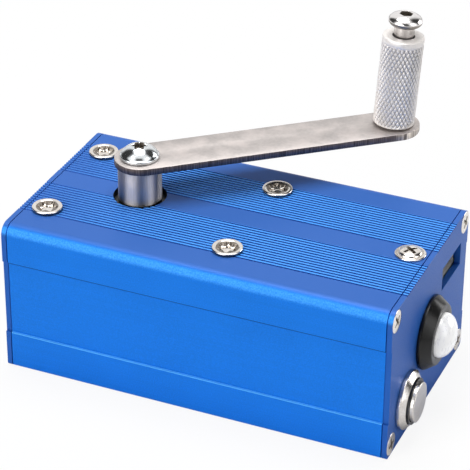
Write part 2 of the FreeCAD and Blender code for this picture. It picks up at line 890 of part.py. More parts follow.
def make_gearbox_plate(label, low, holes):
    """One gearbox plate with its corner holes and the holes given as (name, radius, x, y)."""
    body = new_body(label)
    sketch = new_sketch(body, label + "_outline")
    draw_rectangle(sketch, "gearbox_left - gearbox_margin",
                   "-(gearbox_half_width + gearbox_margin)",
                   "gearbox_right + gearbox_margin", "gearbox_half_width + gearbox_margin")
    feature = pad(body, sketch, "gearbox_plate")

    def is_corner(edge):
        points = [vertex.Point for vertex in edge.Vertexes]
        return abs(points[0].z - points[1].z) > 0.1

    round_edges(body, feature, is_corner, "gearbox_margin * 0.8", label + "_corners")
    drill(body, label + "_screw_holes", "gearbox_screw_radius + screw_clearance",
          TOP_SCREW_PLACES, offset="gearbox_plate")
    for name, radius, x, y in holes:
        drill(body, f"{label}_{name}", radius, [(x, y)], offset="gearbox_plate")
    place(body, z=low)


def motor_screw_places():
    """The two motor screws, on a line turned away from the bush and the pins."""
    spread = "motor_screw_spread"
    turn = "motor_screw_angle"
    return [
        (f"motor_x {sign} {spread} * cos({turn})", f"motor_y {sign} {spread} * sin({turn})")
        for sign in ("+", "-")
    ]


def make_gearbox_frame():
    """Plates, pillars, bushes, pins and lower screws of the gearbox."""
    top_holes = [
        ("bush_hole", "bush_radius", "crank_x", "0"),
        ("pin_hole", "idler_pin_radius", "first_x", "0"),
    ]
    make_gearbox_plate("gearbox_top_plate", "top_plate_low", top_holes)
    bottom_holes = [
        ("bush_hole", "bush_radius", "crank_x", "0"),
        ("first_pin_hole", "idler_pin_radius", "first_x", "0"),
        ("second_pin_hole", "idler_pin_radius", "second_x", "second_y"),
        ("motor_hole", "motor_boss_radius", "motor_x", "motor_y"),
    ]
    for index, (x, y) in enumerate(motor_screw_places()):
        bottom_holes.append((f"motor_screw_hole_{index}", "motor_screw_radius", x, y))
    make_gearbox_plate("gearbox_bottom_plate", "bottom_plate_low", bottom_holes)
    post = cylinder("pillar_post", "pillar_radius", "bottom_plate_top", "top_plate_low")
    thread = cylinder("pillar_thread", "gearbox_screw_radius", "bottom_plate_top",
                      "top_plate_low")
    pillar = cut("pillar", post, thread)
    group("gearbox_pillars", pillar, [at(x, y, "0") for x, y in TOP_SCREW_PLACES])
    lower, _ = headed_screw("lower_screw", "gearbox_screw_radius", "lower_screw_length",
                            "screw_head_radius", "lower_head_height")
    upside_down = FreeCAD.Rotation(X_AXIS, 180)
    tip = "bottom_plate_low + lower_screw_length"
    group("gearbox_lower_screws", lower,
          [at(x, y, tip, upside_down) for x, y in TOP_SCREW_PLACES])
    make_bush("upper_bush", "top_plate_low", "roof", False)
    make_bush("lower_bush", "bottom_plate_low", "bottom_plate_top", True)
    first = cylinder("first_idler_pin", "idler_pin_radius", "bottom_plate_low", "roof",
                     "first_x")
    keep(first, "first_idler_pin")
    second = cylinder("second_idler_pin", "idler_pin_radius", "bottom_plate_low",
                      "level_b + gear_width + gear_gap / 2", "second_x", "second_y")
    keep(second, "second_idler_pin")


def make_bush(label, low, high, flange_above):
    """A flanged bush that the crank shaft runs in."""
    flange = (high, f"({high}) + bush_flange")
    if not flange_above:
        flange = (f"({low}) - bush_flange", low)
    barrel = cylinder(label + "_barrel", "bush_radius", low, high)
    collar = cylinder(label + "_flange", "bush_flange_radius", *flange)
    bore = cylinder(label + "_bore", "shaft_radius + running_clearance",
                    f"({low}) - 2 * bush_flange", f"({high}) + 2 * bush_flange")
    bush = cut(label, fuse(label + "_outside", [barrel, collar]), bore)
    place(bush, "crank_x")
    keep(bush, label)


def involute(angle):
    """Return the involute function of a pressure angle in radians."""
    return math.tan(angle) - angle


def gear_solid(teeth, phase, width):
    """Return a spur gear blank with 25 degree involute teeth, one of them at the phase."""
    module = value("gear_module")
    pressure = math.radians(25)
    pitch_radius = module * teeth / 2
    base_radius = pitch_radius * math.cos(pressure)
    tip_radius = pitch_radius + 0.8 * module
    root_radius = pitch_radius - 1.05 * module
    half_tooth = (math.pi * module / 2 - value("gear_backlash")) / (2 * pitch_radius)
    flank_start = max(base_radius, root_radius)
    flank_steps = 4
    flank = []
    for step in range(flank_steps + 1):
        radius = flank_start + (tip_radius - flank_start) * step / flank_steps
        opening = involute(math.acos(base_radius / radius))
        flank.append((radius, half_tooth + involute(pressure) - opening))
    if root_radius < base_radius:
        flank.insert(0, (root_radius, flank[0][1]))

    def point(radius, angle):
        return FreeCAD.Vector(radius * math.cos(angle), radius * math.sin(angle), 0)

    edges = []
    pitch_angle = 2 * math.pi / teeth
    root_half = flank[0][1]
    for tooth in range(teeth):
        middle = phase + tooth * pitch_angle
        side = [point(radius, middle - angle) for radius, angle in flank]
        other = [point(radius, middle + angle) for radius, angle in reversed(flank)]
        edges += [Part.makeLine(low, high) for low, high in zip(side, side[1:])]
        edges.append(Part.Arc(side[-1], point(tip_radius, middle), other[0]).toShape())
        edges += [Part.makeLine(low, high) for low, high in zip(other, other[1:])]
        gap_middle = middle + pitch_angle / 2
        next_root = point(root_radius, middle + pitch_angle - root_half)
        arc = Part.Arc(other[-1], point(root_radius, gap_middle), next_root)
        edges.append(arc.toShape())
    wire = Part.Wire(Part.__sortEdges__(edges))
    return Part.Face(wire).extrude(Z_AXIS * width)


def meshing_phase(teeth, other_teeth, direction, other_phase):
    """Return the phase that meshes with a gear which looks along direction to this one."""
    turns = (direction - other_phase) * other_teeth / (2 * math.pi)
    return direction + math.pi - (2 * math.pi / teeth) * (0.5 - turns)


def tube(outer, inner, low, high):
    """Return a plain ring about the Z axis between two heights."""
    outside = Part.makeCylinder(outer, high - low, FreeCAD.Vector(0, 0, low))
    inside = Part.makeCylinder(inner, high - low, FreeCAD.Vector(0, 0, low))
    return outside.cut(inside)


def gear_piece(label, wheels, rings, bore, x, y):
    """Make one gear from its toothed wheels and plain rings, on a common bore."""
    width = value("gear_width")
    solids = []
    for teeth, phase, low in wheels:
        blank = gear_solid(int(value(teeth)), phase, width)
        hole = Part.makeCylinder(bore, width)
        wheel = blank.cut(hole)
        wheel.translate(FreeCAD.Vector(0, 0, value(low)))
        solids.append(wheel)
    for radius, low, high in rings:
        solids.append(tube(value(radius), bore, value(low), value(high)))
    shape = solids[0].multiFuse(solids[1:]).removeSplitter()
    piece = doc.addObject("Part::Feature", label)
    piece.Shape = shape
    piece.Placement = at(x, y, "0")
    keep(piece, label)


def make_gears():
    """The gear train: crank gear, two stepped idlers and the motor pinion."""
    first_phase = meshing_phase(value("first_pinion_teeth"), value("crank_gear_teeth"), 0, 0)
    to_second = math.radians(value("second_idler_angle"))
    second_phase = meshing_phase(value("second_pinion_teeth"), value("first_wheel_teeth"),
                                 to_second, 0)
    to_motor = math.radians(value("motor_angle"))
    motor_phase = meshing_phase(value("motor_pinion_teeth"), value("second_wheel_teeth"),
                                to_motor, 0)
    shaft_bore = value("shaft_radius")
    pin_bore = value("idler_pin_radius + running_clearance")
    above_plate = "bottom_plate_top + face_clearance"
    between = "idler_boss_radius"
    gear_piece(
        "crank_gear",
        [("crank_gear_teeth", 0, "level_a")],
        [("gear_sleeve_radius", "bottom_plate_top + bush_flange + face_clearance",
          "level_a")],
        shaft_bore, "crank_x", "0",
    )
    gear_piece(
        "first_idler_gear",
        [("first_pinion_teeth", first_phase, "level_a"), ("first_wheel_teeth", 0, "level_b")],
        [(between, above_plate, "level_a"),
         ("idler_boss_radius * 0.9", "level_a + gear_width",
          "top_plate_low - face_clearance")],
        pin_bore, "first_x", "0",
    )
    gear_piece(
        "second_idler_gear",
        [("second_pinion_teeth", second_phase, "level_b"), ("second_wheel_teeth", 0, "level_c")],
        [(between, above_plate, "level_b")],
        pin_bore, "second_x", "second_y",
    )
    gear_piece(
        "motor_pinion",
        [("motor_pinion_teeth", motor_phase, "level_c")],
        [("motor_shaft_radius * 1.9", "level_c - gear_gap", "level_c")],
        value("motor_shaft_radius"), "motor_x", "motor_y",
    )


def make_crank_shaft():
    """The shaft that carries the hub and the crank gear."""
    shaft = cylinder("crank_shaft", "shaft_radius", "bottom_plate_low + 2 * face_clearance",
                     "shaft_top", "crank_x")
    keep(shaft, "crank_shaft")


# generator


def make_motor_can():
    """The steel can, open at the bottom, with a bearing boss on top."""
    outside = cylinder("can_outside", "motor_radius", "motor_low", "bottom_plate_low")
    boss = cylinder("can_boss", "motor_boss_radius", "bottom_plate_low",
                    "bottom_plate_low + motor_boss_height")
    inside = cylinder("can_inside", "motor_radius - motor_wall", f"motor_low - {OVERCUT}",
                      "bottom_plate_low - motor_wall")
    bearing = cylinder("can_bearing", "motor_shaft_radius + running_clearance", "motor_low",
                       "bottom_plate_top")
    screw_holes = []
    for index, (x, y) in enumerate(motor_screw_places()):
        hole = cylinder(f"can_screw_hole_{index}", "motor_screw_radius", "motor_low",
                        f"bottom_plate_low + {OVERCUT}", f"{x} - (motor_x)",
                        f"{y} - (motor_y)")
        screw_holes.append(hole)
    hollow = fuse("can_hollow", [inside, bearing] + screw_holes)
    can = cut("motor_can", fuse("can_solid", [outside, boss]), hollow)
    place(can, "motor_x", "motor_y")
    keep(can, "motor_can")


def make_motor_magnets():
    """Two arc magnets inside the can."""
    outer = value("motor_radius - motor_wall")
    inner = value("motor_radius - motor_wall - magnet_thickness")
    length = value("magnet_length")
    shapes = []
    for start in (-60, 120):
        arc = Part.makeCylinder(outer, length, ORIGIN, Z_AXIS, 120)
        arc = arc.cut(Part.makeCylinder(inner, length))
        arc.rotate(ORIGIN, Z_AXIS, start)
        shapes.append(arc)
    magnets = doc.addObject("Part::Feature", "motor_magnets")
    magnets.Shape = Part.makeCompound(shapes)
    magnets.Placement = at("motor_x", "motor_y", "magnet_low")
    keep(magnets, "motor_magnets")


def make_motor_rotor():
    """Shaft, slotted armature and commutator, which turn with the pinion."""
    shaft = cylinder("motor_shaft", "motor_shaft_radius",
                     "motor_low - end_cap_thickness", "level_c + gear_width", "motor_x",
                     "motor_y")
    keep(shaft, "motor_shaft")
    core = cylinder("armature_core", "armature_radius", "armature_low",
                    "armature_low + armature_length")
    slots = []
    for index in range(3):
        slot = doc.addObject("Part::Box", f"armature_slot_{index}")
        bind(slot, "Length", "armature_radius")
        bind(slot, "Width", "armature_radius * 0.3")
        bind(slot, "Height", "armature_length")
        turn = FreeCAD.Rotation(Z_AXIS, 120 * index)
        inner = "commutator_radius * 1.3"
        side = "-(armature_radius * 0.15)"
        x = f"({inner}) * cos({120 * index}) - ({side}) * sin({120 * index})"
        y = f"({inner}) * sin({120 * index}) + ({side}) * cos({120 * index})"
        place(slot, x, y, "armature_low", turn)
        slots.append(slot)
    bore = cylinder("armature_bore", "motor_shaft_radius", "armature_low",
                    "armature_low + armature_length")
    armature = cut("motor_armature", core, fuse("armature_gaps", slots + [bore]))
    place(armature, "motor_x", "motor_y")
    keep(armature, "motor_armature")
    drum = cylinder("commutator_drum", "commutator_radius",
                    "armature_low - commutator_length", "armature_low")
    hole = cylinder("commutator_hole", "motor_shaft_radius",
                    "armature_low - commutator_length", "armature_low")
    commutator = cut("motor_commutator", drum, hole)
    place(commutator, "motor_x", "motor_y")
    keep(commutator, "motor_commutator")


def make_motor_end():
    """The end cap, its terminals and the two screws that hold the generator."""
    disc = cylinder("cap_disc", "motor_radius", "motor_low - end_cap_thickness", "motor_low")
    bearing = cylinder("cap_bearing", "motor_shaft_radius + running_clearance",
                       f"motor_low - end_cap_thickness - {OVERCUT}",
                       f"motor_low + {OVERCUT}")
    cap = cut("motor_end_cap", disc, bearing)
    place(cap, "motor_x", "motor_y")
    keep(cap, "motor_end_cap")
    tab = box("motor_tab", ("-(terminal_thickness / 2)", "terminal_thickness / 2"),
              ("-(terminal_width / 2)", "terminal_width / 2"),
              ("motor_low - end_cap_thickness - motor_terminal_length",
               "motor_low - end_cap_thickness"))
    spread = "motor_radius / 2"
    group("motor_terminals", tab,
          [at("motor_x", f"motor_y {sign} {spread}", "0") for sign in ("+", "-")])
    screw, _ = headed_screw("motor_screw", "motor_screw_radius",
                            "(gearbox_plate + motor_wall * 0.9)", "motor_screw_head",
                            "(motor_screw_radius * 1.2)")
    base = "bottom_plate_low - motor_wall * 0.9"
    group("motor_screws", screw, [at(x, y, base) for x, y in motor_screw_places()])


# circuit board


def make_circuit_board():
    """The board: full width between the rails, and a tongue under the USB socket."""
    body = new_body("circuit_board")
    sketch = new_sketch(body, "board_outline")
    tongue_low = "usb_y - usb_width / 2 - 0.7"
    points = [
        ("board_left", "-(board_half)"),
        ("board_right", "-(board_half)"),
        ("board_right", tongue_low),
        ("usb_front - face_clearance", tongue_low),
        ("usb_front - face_clearance", "board_half"),
        ("board_left", "board_half"),
    ]
    draw_outline(sketch, points)
    pad(body, sketch, "board_thickness")
    drill(body, "board_screw_hole", "board_screw_radius", [("board_screw_x", "0")],
          offset="board_thickness")
    place(body, z="board_low")


def make_board_bracket():
    """The Z-shaped bracket under the fifth top screw, and the screw that holds the board."""
    body = new_body("board_bracket")
    side = new_sketch(body, "bracket_side", "XZ_Plane", "-(bracket_width / 2)")
    web = "bracket_web_x"
    thick = "bracket_thickness"
    points = [
        ("bracket_foot_left", "board_top"),
        (f"{web} + {thick}", "board_top"),
        (f"{web} + {thick}", f"roof - {thick}"),
        ("body_half - face_clearance", f"roof - {thick}"),
        ("body_half - face_clearance", "roof"),
        (web, "roof"),
        (web, f"board_top + {thick}"),
        ("bracket_foot_left", f"board_top + {thick}"),
    ]
    draw_outline(side, points)
    pad(body, side, "bracket_width")
    drill(body, "bracket_top_hole", "gearbox_screw_radius", [("bracket_screw_x", "0")],
          offset="roof", depth=f"{thick} * 1.5")
    drill(body, "bracket_foot_hole", "board_screw_radius", [("board_screw_x", "0")],
          offset=f"board_top + {thick} * 1.5", depth=f"{thick} * 2")
    length = "(board_thickness + bracket_thickness * 2.4)"
    screw, _ = headed_screw("board_screw", "board_screw_radius", length, "board_screw_head",
                            "bracket_thickness")
    place(screw, "board_screw_x", "0", f"board_top + {thick} - {length}")
    keep(screw, "board_screw")
    nut = new_body("board_nut")
    outline = new_sketch(nut, "board_nut_outline")
    hexagon(outline, "board_screw_head * 1.15")
    pad(nut, outline, "board_screw_radius * 1.6")
    drill(nut, "board_nut_hole", "board_screw_radius", [("0", "0")],
          offset="board_screw_radius * 1.6")
    place(nut, "board_screw_x", "0", "board_low - board_screw_radius * 1.6")


def make_board_parts():
    """Capacitors, inductor, diodes and regulator chip, each in its own lane across the board."""
    capacitor = cylinder("capacitor", "capacitor_radius", "board_top", "capacitor_top")
    first_y = "capacitor_radius + component_gap - (corner_y - boss_radius)"
    group("capacitors", capacitor,
          [at("board_left + capacitor_radius + component_gap",
              f"{first_y} + {step} * capacitor_spacing", "0") for step in (0, 1)])
    ring = cylinder("inductor_ring", "inductor_radius", "board_top",
                    "board_top + inductor_height")
    hole = cylinder("inductor_hole", "inductor_radius * 0.45", "board_top",
                    "board_top + inductor_height")
    inductor = cut("inductor", ring, hole)
    place(inductor, "board_right - inductor_radius - component_gap",
          "bracket_width / 2 + inductor_radius + component_gap")
    keep(inductor, "inductor")
    chip_low = "board_left + component_gap"
    chip = box("regulator_chip", (chip_low, f"{chip_low} + chip_length"),
               ("bracket_width / 2 - chip_width", "bracket_width / 2"),
               ("board_top", "board_top + chip_height"))
    keep(chip, "regulator_chip")
    diode = box("diode", ("0", "diode_length"), ("-(diode_width)", "0"),
                ("board_top", "board_top + diode_height"))
    places = []
    for column in (0, 1):
        for row in (0, 1):
            x = f"board_left + component_gap + {column} * (diode_length + component_gap)"
            y = f"board_edge - component_gap - {row} * (diode_width + component_gap)"
            places.append(at(x, y, "0"))
    group("rectifier_diodes", diode, places)


# USB socket


def make_usb_socket():
    """A USB-A socket: folded shell, plastic tongue and four contacts."""
    half = "usb_width / 2"
    outside = box("usb_outside", ("usb_back", "usb_front"),
                  (f"usb_y - {half}", f"usb_y + {half}"),
                  ("board_top", "board_top + usb_height"))
    inside = box("usb_inside", ("usb_back + usb_sheet", f"usb_front + {OVERCUT}"),
                 (f"usb_y - {half} + usb_sheet", f"usb_y + {half} - usb_sheet"),
                 ("board_top + usb_sheet", "board_top + usb_height - usb_sheet"))
    keep(cut("usb_shell", outside, inside), "usb_shell")
    block = box("usb_block", ("usb_back + usb_sheet", "usb_back + usb_sheet + usb_block_depth"),
                (f"usb_y - {half} + usb_sheet", f"usb_y + {half} - usb_sheet"),
                ("board_top + usb_sheet", "board_top + usb_height - usb_sheet"))
    tongue_top = "board_top + usb_height - usb_sheet - usb_tongue_drop"
    tongue_low = f"{tongue_top} - usb_tongue_thickness"
    tongue = box("usb_blade", ("usb_back + usb_sheet", "usb_front - usb_tongue_setback"),
                 ("usb_y - usb_tongue_width / 2", "usb_y + usb_tongue_width / 2"),
                 (tongue_low, tongue_top))
    keep(fuse("usb_tongue", [block, tongue]), "usb_tongue")
    contact = box("usb_contact",
                  ("usb_back + usb_sheet + usb_block_depth",
                   "usb_front - usb_tongue_setback - 0.6"),
                  ("-(usb_contact_width / 2)", "usb_contact_width / 2"),
                  (f"{tongue_low} - usb_contact_thickness", tongue_low))
    places = [at("0", f"usb_y + {step} * usb_contact_pitch", "0") for step in
              (-1.5, -0.5, 0.5, 1.5)]
    group("usb_contacts", contact, places)


# lamp


def place_in_plate(piece, y, z):
    """Turn a piece made along Z so that Z runs along X, and centre it in the plate."""
    place(piece, "0", y, z, FACING_RIGHT)


def make_nut(label, flats, thread_radius, y, z):
    """A thin hexagon nut behind the right end plate."""
    body = new_body(label)
    sketch = new_sketch(body, label + "_outline")
    points = []
    for step in range(6):
        angle = 60 * step
        x = "0" if step in (0, 3) else f"{flats} / sqrt(3) * sin({angle})"
        points.append((x, f"{flats} / sqrt(3) * cos({angle})"))
    draw_outline(sketch, points)
    pad(body, sketch, "nut_thickness")
    drill(body, label + "_thread", thread_radius, [("0", "0")], offset="nut_thickness")
    place(body, "body_half - nut_thickness", y, z, FACING_RIGHT)


def make_lamp():
    """Black bezel, clear lens, reflector, LED on its board, retainer ring and nut."""
    bezel = new_body("lamp_bezel")
    back = "body_half - lamp_depth"
    points = [
        ("lamp_thread_radius", back),
        ("lamp_thread_radius", "plate_face"),
        ("bezel_radius", "plate_face"),
        ("bezel_radius", "plate_face + bezel_edge"),
        ("bezel_rim_radius", "bezel_face"),
        ("bezel_mouth_radius", "bezel_face"),
        ("bezel_mouth_radius", "lens_seat"),
        ("lamp_bore_radius", "lens_seat"),
        ("lamp_bore_radius", back),
    ]
    turned(bezel, "bezel_outline", points)
    place_in_plate(bezel, "0", "lamp_z")
    lens = new_body("lamp_lens")
    dome = "lens_dome"
    points = [
        ("0", "lens_seat - lens_collar"),
        ("lamp_bore_radius", "lens_seat - lens_collar"),
        ("lamp_bore_radius", "lens_seat"),
        ("lens_radius", "lens_seat"),
        ("lens_radius", "bezel_face"),
    ]
    for angle in (15, 30, 45, 60, 75):
        points.append((f"lens_radius * cos({angle})", f"bezel_face + {dome} * sin({angle})"))
    points.append(("0", f"bezel_face + {dome}"))
    turned(lens, "lens_outline", points)
    place_in_plate(lens, "0", "lamp_z")
    make_lamp_inside()
    make_nut("lamp_nut", "lamp_nut_flats", "lamp_thread_radius", "0", "lamp_z")


def make_lamp_inside():
    """Reflector, LED board, LED and retainer ring in the bezel's bore."""
    reflector = new_body("lamp_reflector")
    front = "lens_seat - lens_collar"
    points = [
        ("lamp_bore_radius", front),
        ("lamp_bore_radius", f"{front} - reflector_wall"),
        ("led_radius * 1.2 + reflector_wall", "reflector_back"),
        ("led_radius * 1.2", "reflector_back"),
        ("lamp_bore_radius - reflector_wall", front),
    ]
    turned(reflector, "reflector_outline", points)
    place_in_plate(reflector, "0", "lamp_z")
    board = cylinder("led_board", "lamp_bore_radius", "led_board_back", "reflector_back")
    place_in_plate(board, "0", "lamp_z")
    bind(board, "Placement.Base.x", "led_board_back")
    keep(board, "led_board")
    dome_top = "reflector_back + led_radius * 1.3"
    led_base = cylinder("led_base", "led_radius", "reflector_back", "reflector_back + led_radius")
    led_dome = cone("led_dome", "led_radius", "led_radius / 2", "reflector_back", dome_top)
    led = fuse("led", [led_base, led_dome])
    place_in_plate(led, "0", "lamp_z")
    keep(led, "led")
    ring = cylinder("retainer_ring", "lamp_bore_radius", "led_board_back - retainer_length",
                    "led_board_back")
    hole = cylinder("retainer_hole", "lamp_bore_radius - 2 * reflector_wall",
                    "led_board_back - retainer_length", "led_board_back")
    retainer = cut("lamp_retainer", ring, hole)
    place_in_plate(retainer, "0", "lamp_z")
    keep(retainer, "lamp_retainer")


# switch


def make_switch():
    """A round metal push button: body, black ring, cap, base, terminals and nut."""
    body = new_body("switch_body")
    face = "plate_face + switch_flange_height"
    points = [
        ("0", "switch_back"),
        ("switch_thread_radius", "switch_back"),
        ("switch_thread_radius", "plate_face"),
        ("switch_flange_radius", "plate_face"),
        ("switch_flange_radius", "plate_face + switch_flange_edge"),
        ("switch_face_radius", face),
        ("switch_ring_radius", face),
        ("switch_ring_radius", "ring_back"),
        ("switch_bore_radius", "ring_back"),
        ("switch_bore_radius", "switch_back + switch_back_wall"),
        ("0", "switch_back + switch_back_wall"),
    ]
    turned(body, "switch_body_outline", points)
    place_in_plate(body, "switch_y", "switch_z")
    ring = cylinder("ring_outside", "switch_ring_radius", "ring_back",
                    "ring_back + switch_ring_length")
    hole = cylinder("ring_hole", "switch_bore_radius", "ring_back",
                    "ring_back + switch_ring_length")
    seal = cut("switch_ring", ring, hole)
    place_in_plate(seal, "switch_y", "switch_z")
    keep(seal, "switch_ring")
    cap = new_body("switch_cap")
    front = "plate_face + switch_cap_proud"
    radius = "switch_bore_radius - switch_cap_clearance"
    points = [
        ("0", f"{front} - switch_cap_length"),
        (radius, f"{front} - switch_cap_length"),
        (radius, f"{front} - switch_cap_chamfer"),
        (f"{radius} - switch_cap_chamfer", front),
        ("0", front),
    ]
    turned(cap, "switch_cap_outline", points)
    place_in_plate(cap, "switch_y", "switch_z")
    base = cylinder("switch_base", "switch_thread_radius * 0.95",
                    "switch_back - switch_base_length", "switch_back")
    place_in_plate(base, "switch_y", "switch_z")
    bind(base, "Placement.Base.x", "switch_back - switch_base_length")
    keep(base, "switch_base")
    back = "switch_back - switch_base_length"
    tab = box("switch_tab", (f"{back} - terminal_length", back),
              ("-(terminal_width / 2)", "terminal_width / 2"),
              ("-(terminal_thickness / 2)", "terminal_thickness / 2"))
    spread = "switch_thread_radius / 2"
    group("switch_terminals", tab,
          [at("0", "switch_y", f"switch_z {sign} {spread}") for sign in ("+", "-")])
    make_nut("switch_nut", "switch_nut_flats", "switch_thread_radius", "switch_y", "switch_z")


def check_and_export():
    """Stop on any failed object, then write one file for each piece."""
    doc.recompute()
    for item in doc.Objects:
        if "Invalid" in item.State or "Error" in item.State:
            raise RuntimeError(f"{item.Name} failed: {item.State}")
    for piece in nodes:
        if piece.Shape.isNull() or not piece.Shape.isValid():
            raise RuntimeError(f"{piece.Label} has no valid shape")
    os.makedirs("parts", exist_ok=True)
    for piece in nodes:
        piece.Shape.exportStep(f"parts/{piece.Label}.step")
    print(f"wrote {len(nodes)} pieces")


fill_sheet()
make_case_body()
make_end_plate("left_end_plate", right=False)
make_end_plate("right_end_plate", right=True)
make_plate_screws()
make_top_screws()
make_crank_hub()
make_crank_arm()
make_crank_screw()
make_handle()
make_gearbox_frame()
make_gears()
make_crank_shaft()
make_motor_can()
make_motor_magnets()
make_motor_rotor()
make_motor_end()
make_circuit_board()
make_board_bracket()
make_board_parts()
make_usb_socket()
make_lamp()
make_switch()
check_and_export()
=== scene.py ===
import json
import math

import bmesh
import bpy
from mathutils import Matrix, Vector


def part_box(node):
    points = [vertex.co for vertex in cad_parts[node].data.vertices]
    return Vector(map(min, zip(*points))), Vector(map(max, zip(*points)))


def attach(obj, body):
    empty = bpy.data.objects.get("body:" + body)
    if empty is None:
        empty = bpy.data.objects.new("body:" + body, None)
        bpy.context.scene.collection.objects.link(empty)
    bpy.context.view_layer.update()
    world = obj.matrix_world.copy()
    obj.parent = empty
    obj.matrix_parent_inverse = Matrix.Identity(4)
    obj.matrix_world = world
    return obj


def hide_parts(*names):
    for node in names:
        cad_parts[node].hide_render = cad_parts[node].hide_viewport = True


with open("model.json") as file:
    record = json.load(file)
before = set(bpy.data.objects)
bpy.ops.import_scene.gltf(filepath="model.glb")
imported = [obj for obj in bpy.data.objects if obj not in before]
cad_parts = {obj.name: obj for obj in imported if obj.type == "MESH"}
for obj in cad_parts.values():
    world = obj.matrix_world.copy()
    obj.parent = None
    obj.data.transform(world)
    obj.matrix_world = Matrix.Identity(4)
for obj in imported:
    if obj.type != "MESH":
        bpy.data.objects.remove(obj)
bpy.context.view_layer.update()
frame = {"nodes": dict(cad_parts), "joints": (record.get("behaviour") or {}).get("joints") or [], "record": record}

MM = 0.001
JOINTS = {joint["name"]: joint for joint in frame["joints"]}
CASE_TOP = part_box("case_body")[1].z / MM
ARM_LOW, ARM_TOP = (corner.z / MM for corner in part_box("crank_arm"))
ARM_ANGLE = math.radians(40)
ARM_REACH = 65.7
CRANK_X = JOINTS["crank_spin"]["pos_m"][0] / MM
PLATE_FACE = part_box("right_end_plate")[1].x / MM

# camera of the photograph: view direction in degrees, then millimetres
VIEW_AZIMUTH = 23.175
VIEW_ELEVATION = 30.4125
VIEW_ROLL = 0.3808
VIEW_DISTANCE = 551.64
VIEW_SIDE = -0.4495
VIEW_UP = 16.953
VIEW_CENTRE_HEIGHT = 15.0
FOCAL_PIXELS = 2228.46
PHOTO_WIDTH = 470
SENSOR_WIDTH = 36.0
CLIP_START, CLIP_END = 0.01, 20

# softboxes: name, place and target in metres, side in metres, power in watts
SOFTBOXES = [
    ("key", (-0.08, 0.10, 0.99), (0, 0, 0.03), 0.6, 8.6),
    ("front", (-0.35, -1.0, 0.12), (0, 0, 0.02), 1.2, 9.0),
    ("edge", (-0.34, -0.51, 0.80), (0, -0.025, 0.04), 0.16, 1.3),
    ("back", (0.7, 0.8, 0.25), (0, 0, 0.02), 0.6, 4.4),
]
WORLD_LIGHT = 0.09

# what reflections alone see round the object: azimuth from the camera's side, half width
# and upper elevation in degrees, and the share of the light that comes from there, which
# is a dark gap between softboxes below 1 and a bright panel above 1
REFLECTED_PATCHES = [
    (0, 26, 58, 0.10), (-110, 30, 66, 0.04), (112, 30, 66, 0.04), (57, 14, 50, 2.4),
]
PATCH_EDGE_START, PATCH_EDGE_END = 0.7, 1.25
PATCH_TOP_BELOW, PATCH_TOP_ABOVE = 8, 6

FLOOR_REACH = 6.0
FLOOR_COLOR = (0.9, 0.9, 0.9, 1)
FLOOR_GLOW_SHARE = 0.90


# camera, light and floor


def make_camera():
    """Put the camera where the photograph was taken from."""
    azimuth, elevation, roll = (
        math.radians(angle) for angle in (VIEW_AZIMUTH, VIEW_ELEVATION, VIEW_ROLL)
    )
    back = Vector((
        math.sin(azimuth) * math.cos(elevation),
        -math.cos(azimuth) * math.cos(elevation),
        math.sin(elevation),
    ))
    right = Vector((math.cos(azimuth), math.sin(azimuth), 0))
    up = back.cross(right)
    place = Vector((0, 0, VIEW_CENTRE_HEIGHT)) + back * VIEW_DISTANCE
    place += right * VIEW_SIDE + up * VIEW_UP
    turned_right = right * math.cos(roll) + up * math.sin(roll)
    turned_up = up * math.cos(roll) - right * math.sin(roll)
    camera = bpy.data.objects.new("photo_camera", bpy.data.cameras.new("photo_camera"))
    camera.data.sensor_width = SENSOR_WIDTH
    camera.data.lens = FOCAL_PIXELS / PHOTO_WIDTH * SENSOR_WIDTH
    camera.data.clip_start = CLIP_START
    camera.data.clip_end = CLIP_END
    axes = Matrix((turned_right, turned_up, back)).transposed()
    camera.matrix_world = Matrix.Translation(place * MM) @ axes.to_4x4()
    bpy.context.scene.collection.objects.link(camera)
    bpy.context.scene.camera = camera


def soft_light(name, location, target, size, power):
    """Add one square softbox aimed at a point."""
    light = bpy.data.lights.new(name, "AREA")
    light.shape = "SQUARE"
    light.size = size
    light.energy = power
    lamp = bpy.data.objects.new(name, light)
    lamp.location = location
    aim = Vector(target) - Vector(location)
    lamp.rotation_mode = "QUATERNION"
    lamp.rotation_quaternion = aim.to_track_quat("-Z", "Y")
    bpy.context.scene.collection.objects.link(lamp)


def math_node(tree, operation, first, second=None, third=None):
    """One Math node; each operand is a number or a socket."""
    node = tree.nodes.new("ShaderNodeMath")
    node.operation = operation
    for socket, value in zip(node.inputs, (first, second, third)):
        if value is None:
            continue
        if hasattr(value, "is_output"):
            tree.links.new(value, socket)
        else:
            socket.default_value = value
    return node.outputs[0]


def smooth_step(tree, value, low, high):
    """Rise smoothly from 0 at low to 1 at high, or fall where high is the lower."""
    node = tree.nodes.new("ShaderNodeMapRange")
    node.interpolation_type = "SMOOTHSTEP"
    tree.links.new(value, node.inputs["Value"])
    node.inputs["From Min"].default_value = low
    node.inputs["From Max"].default_value = high
    return node.outputs["Result"]


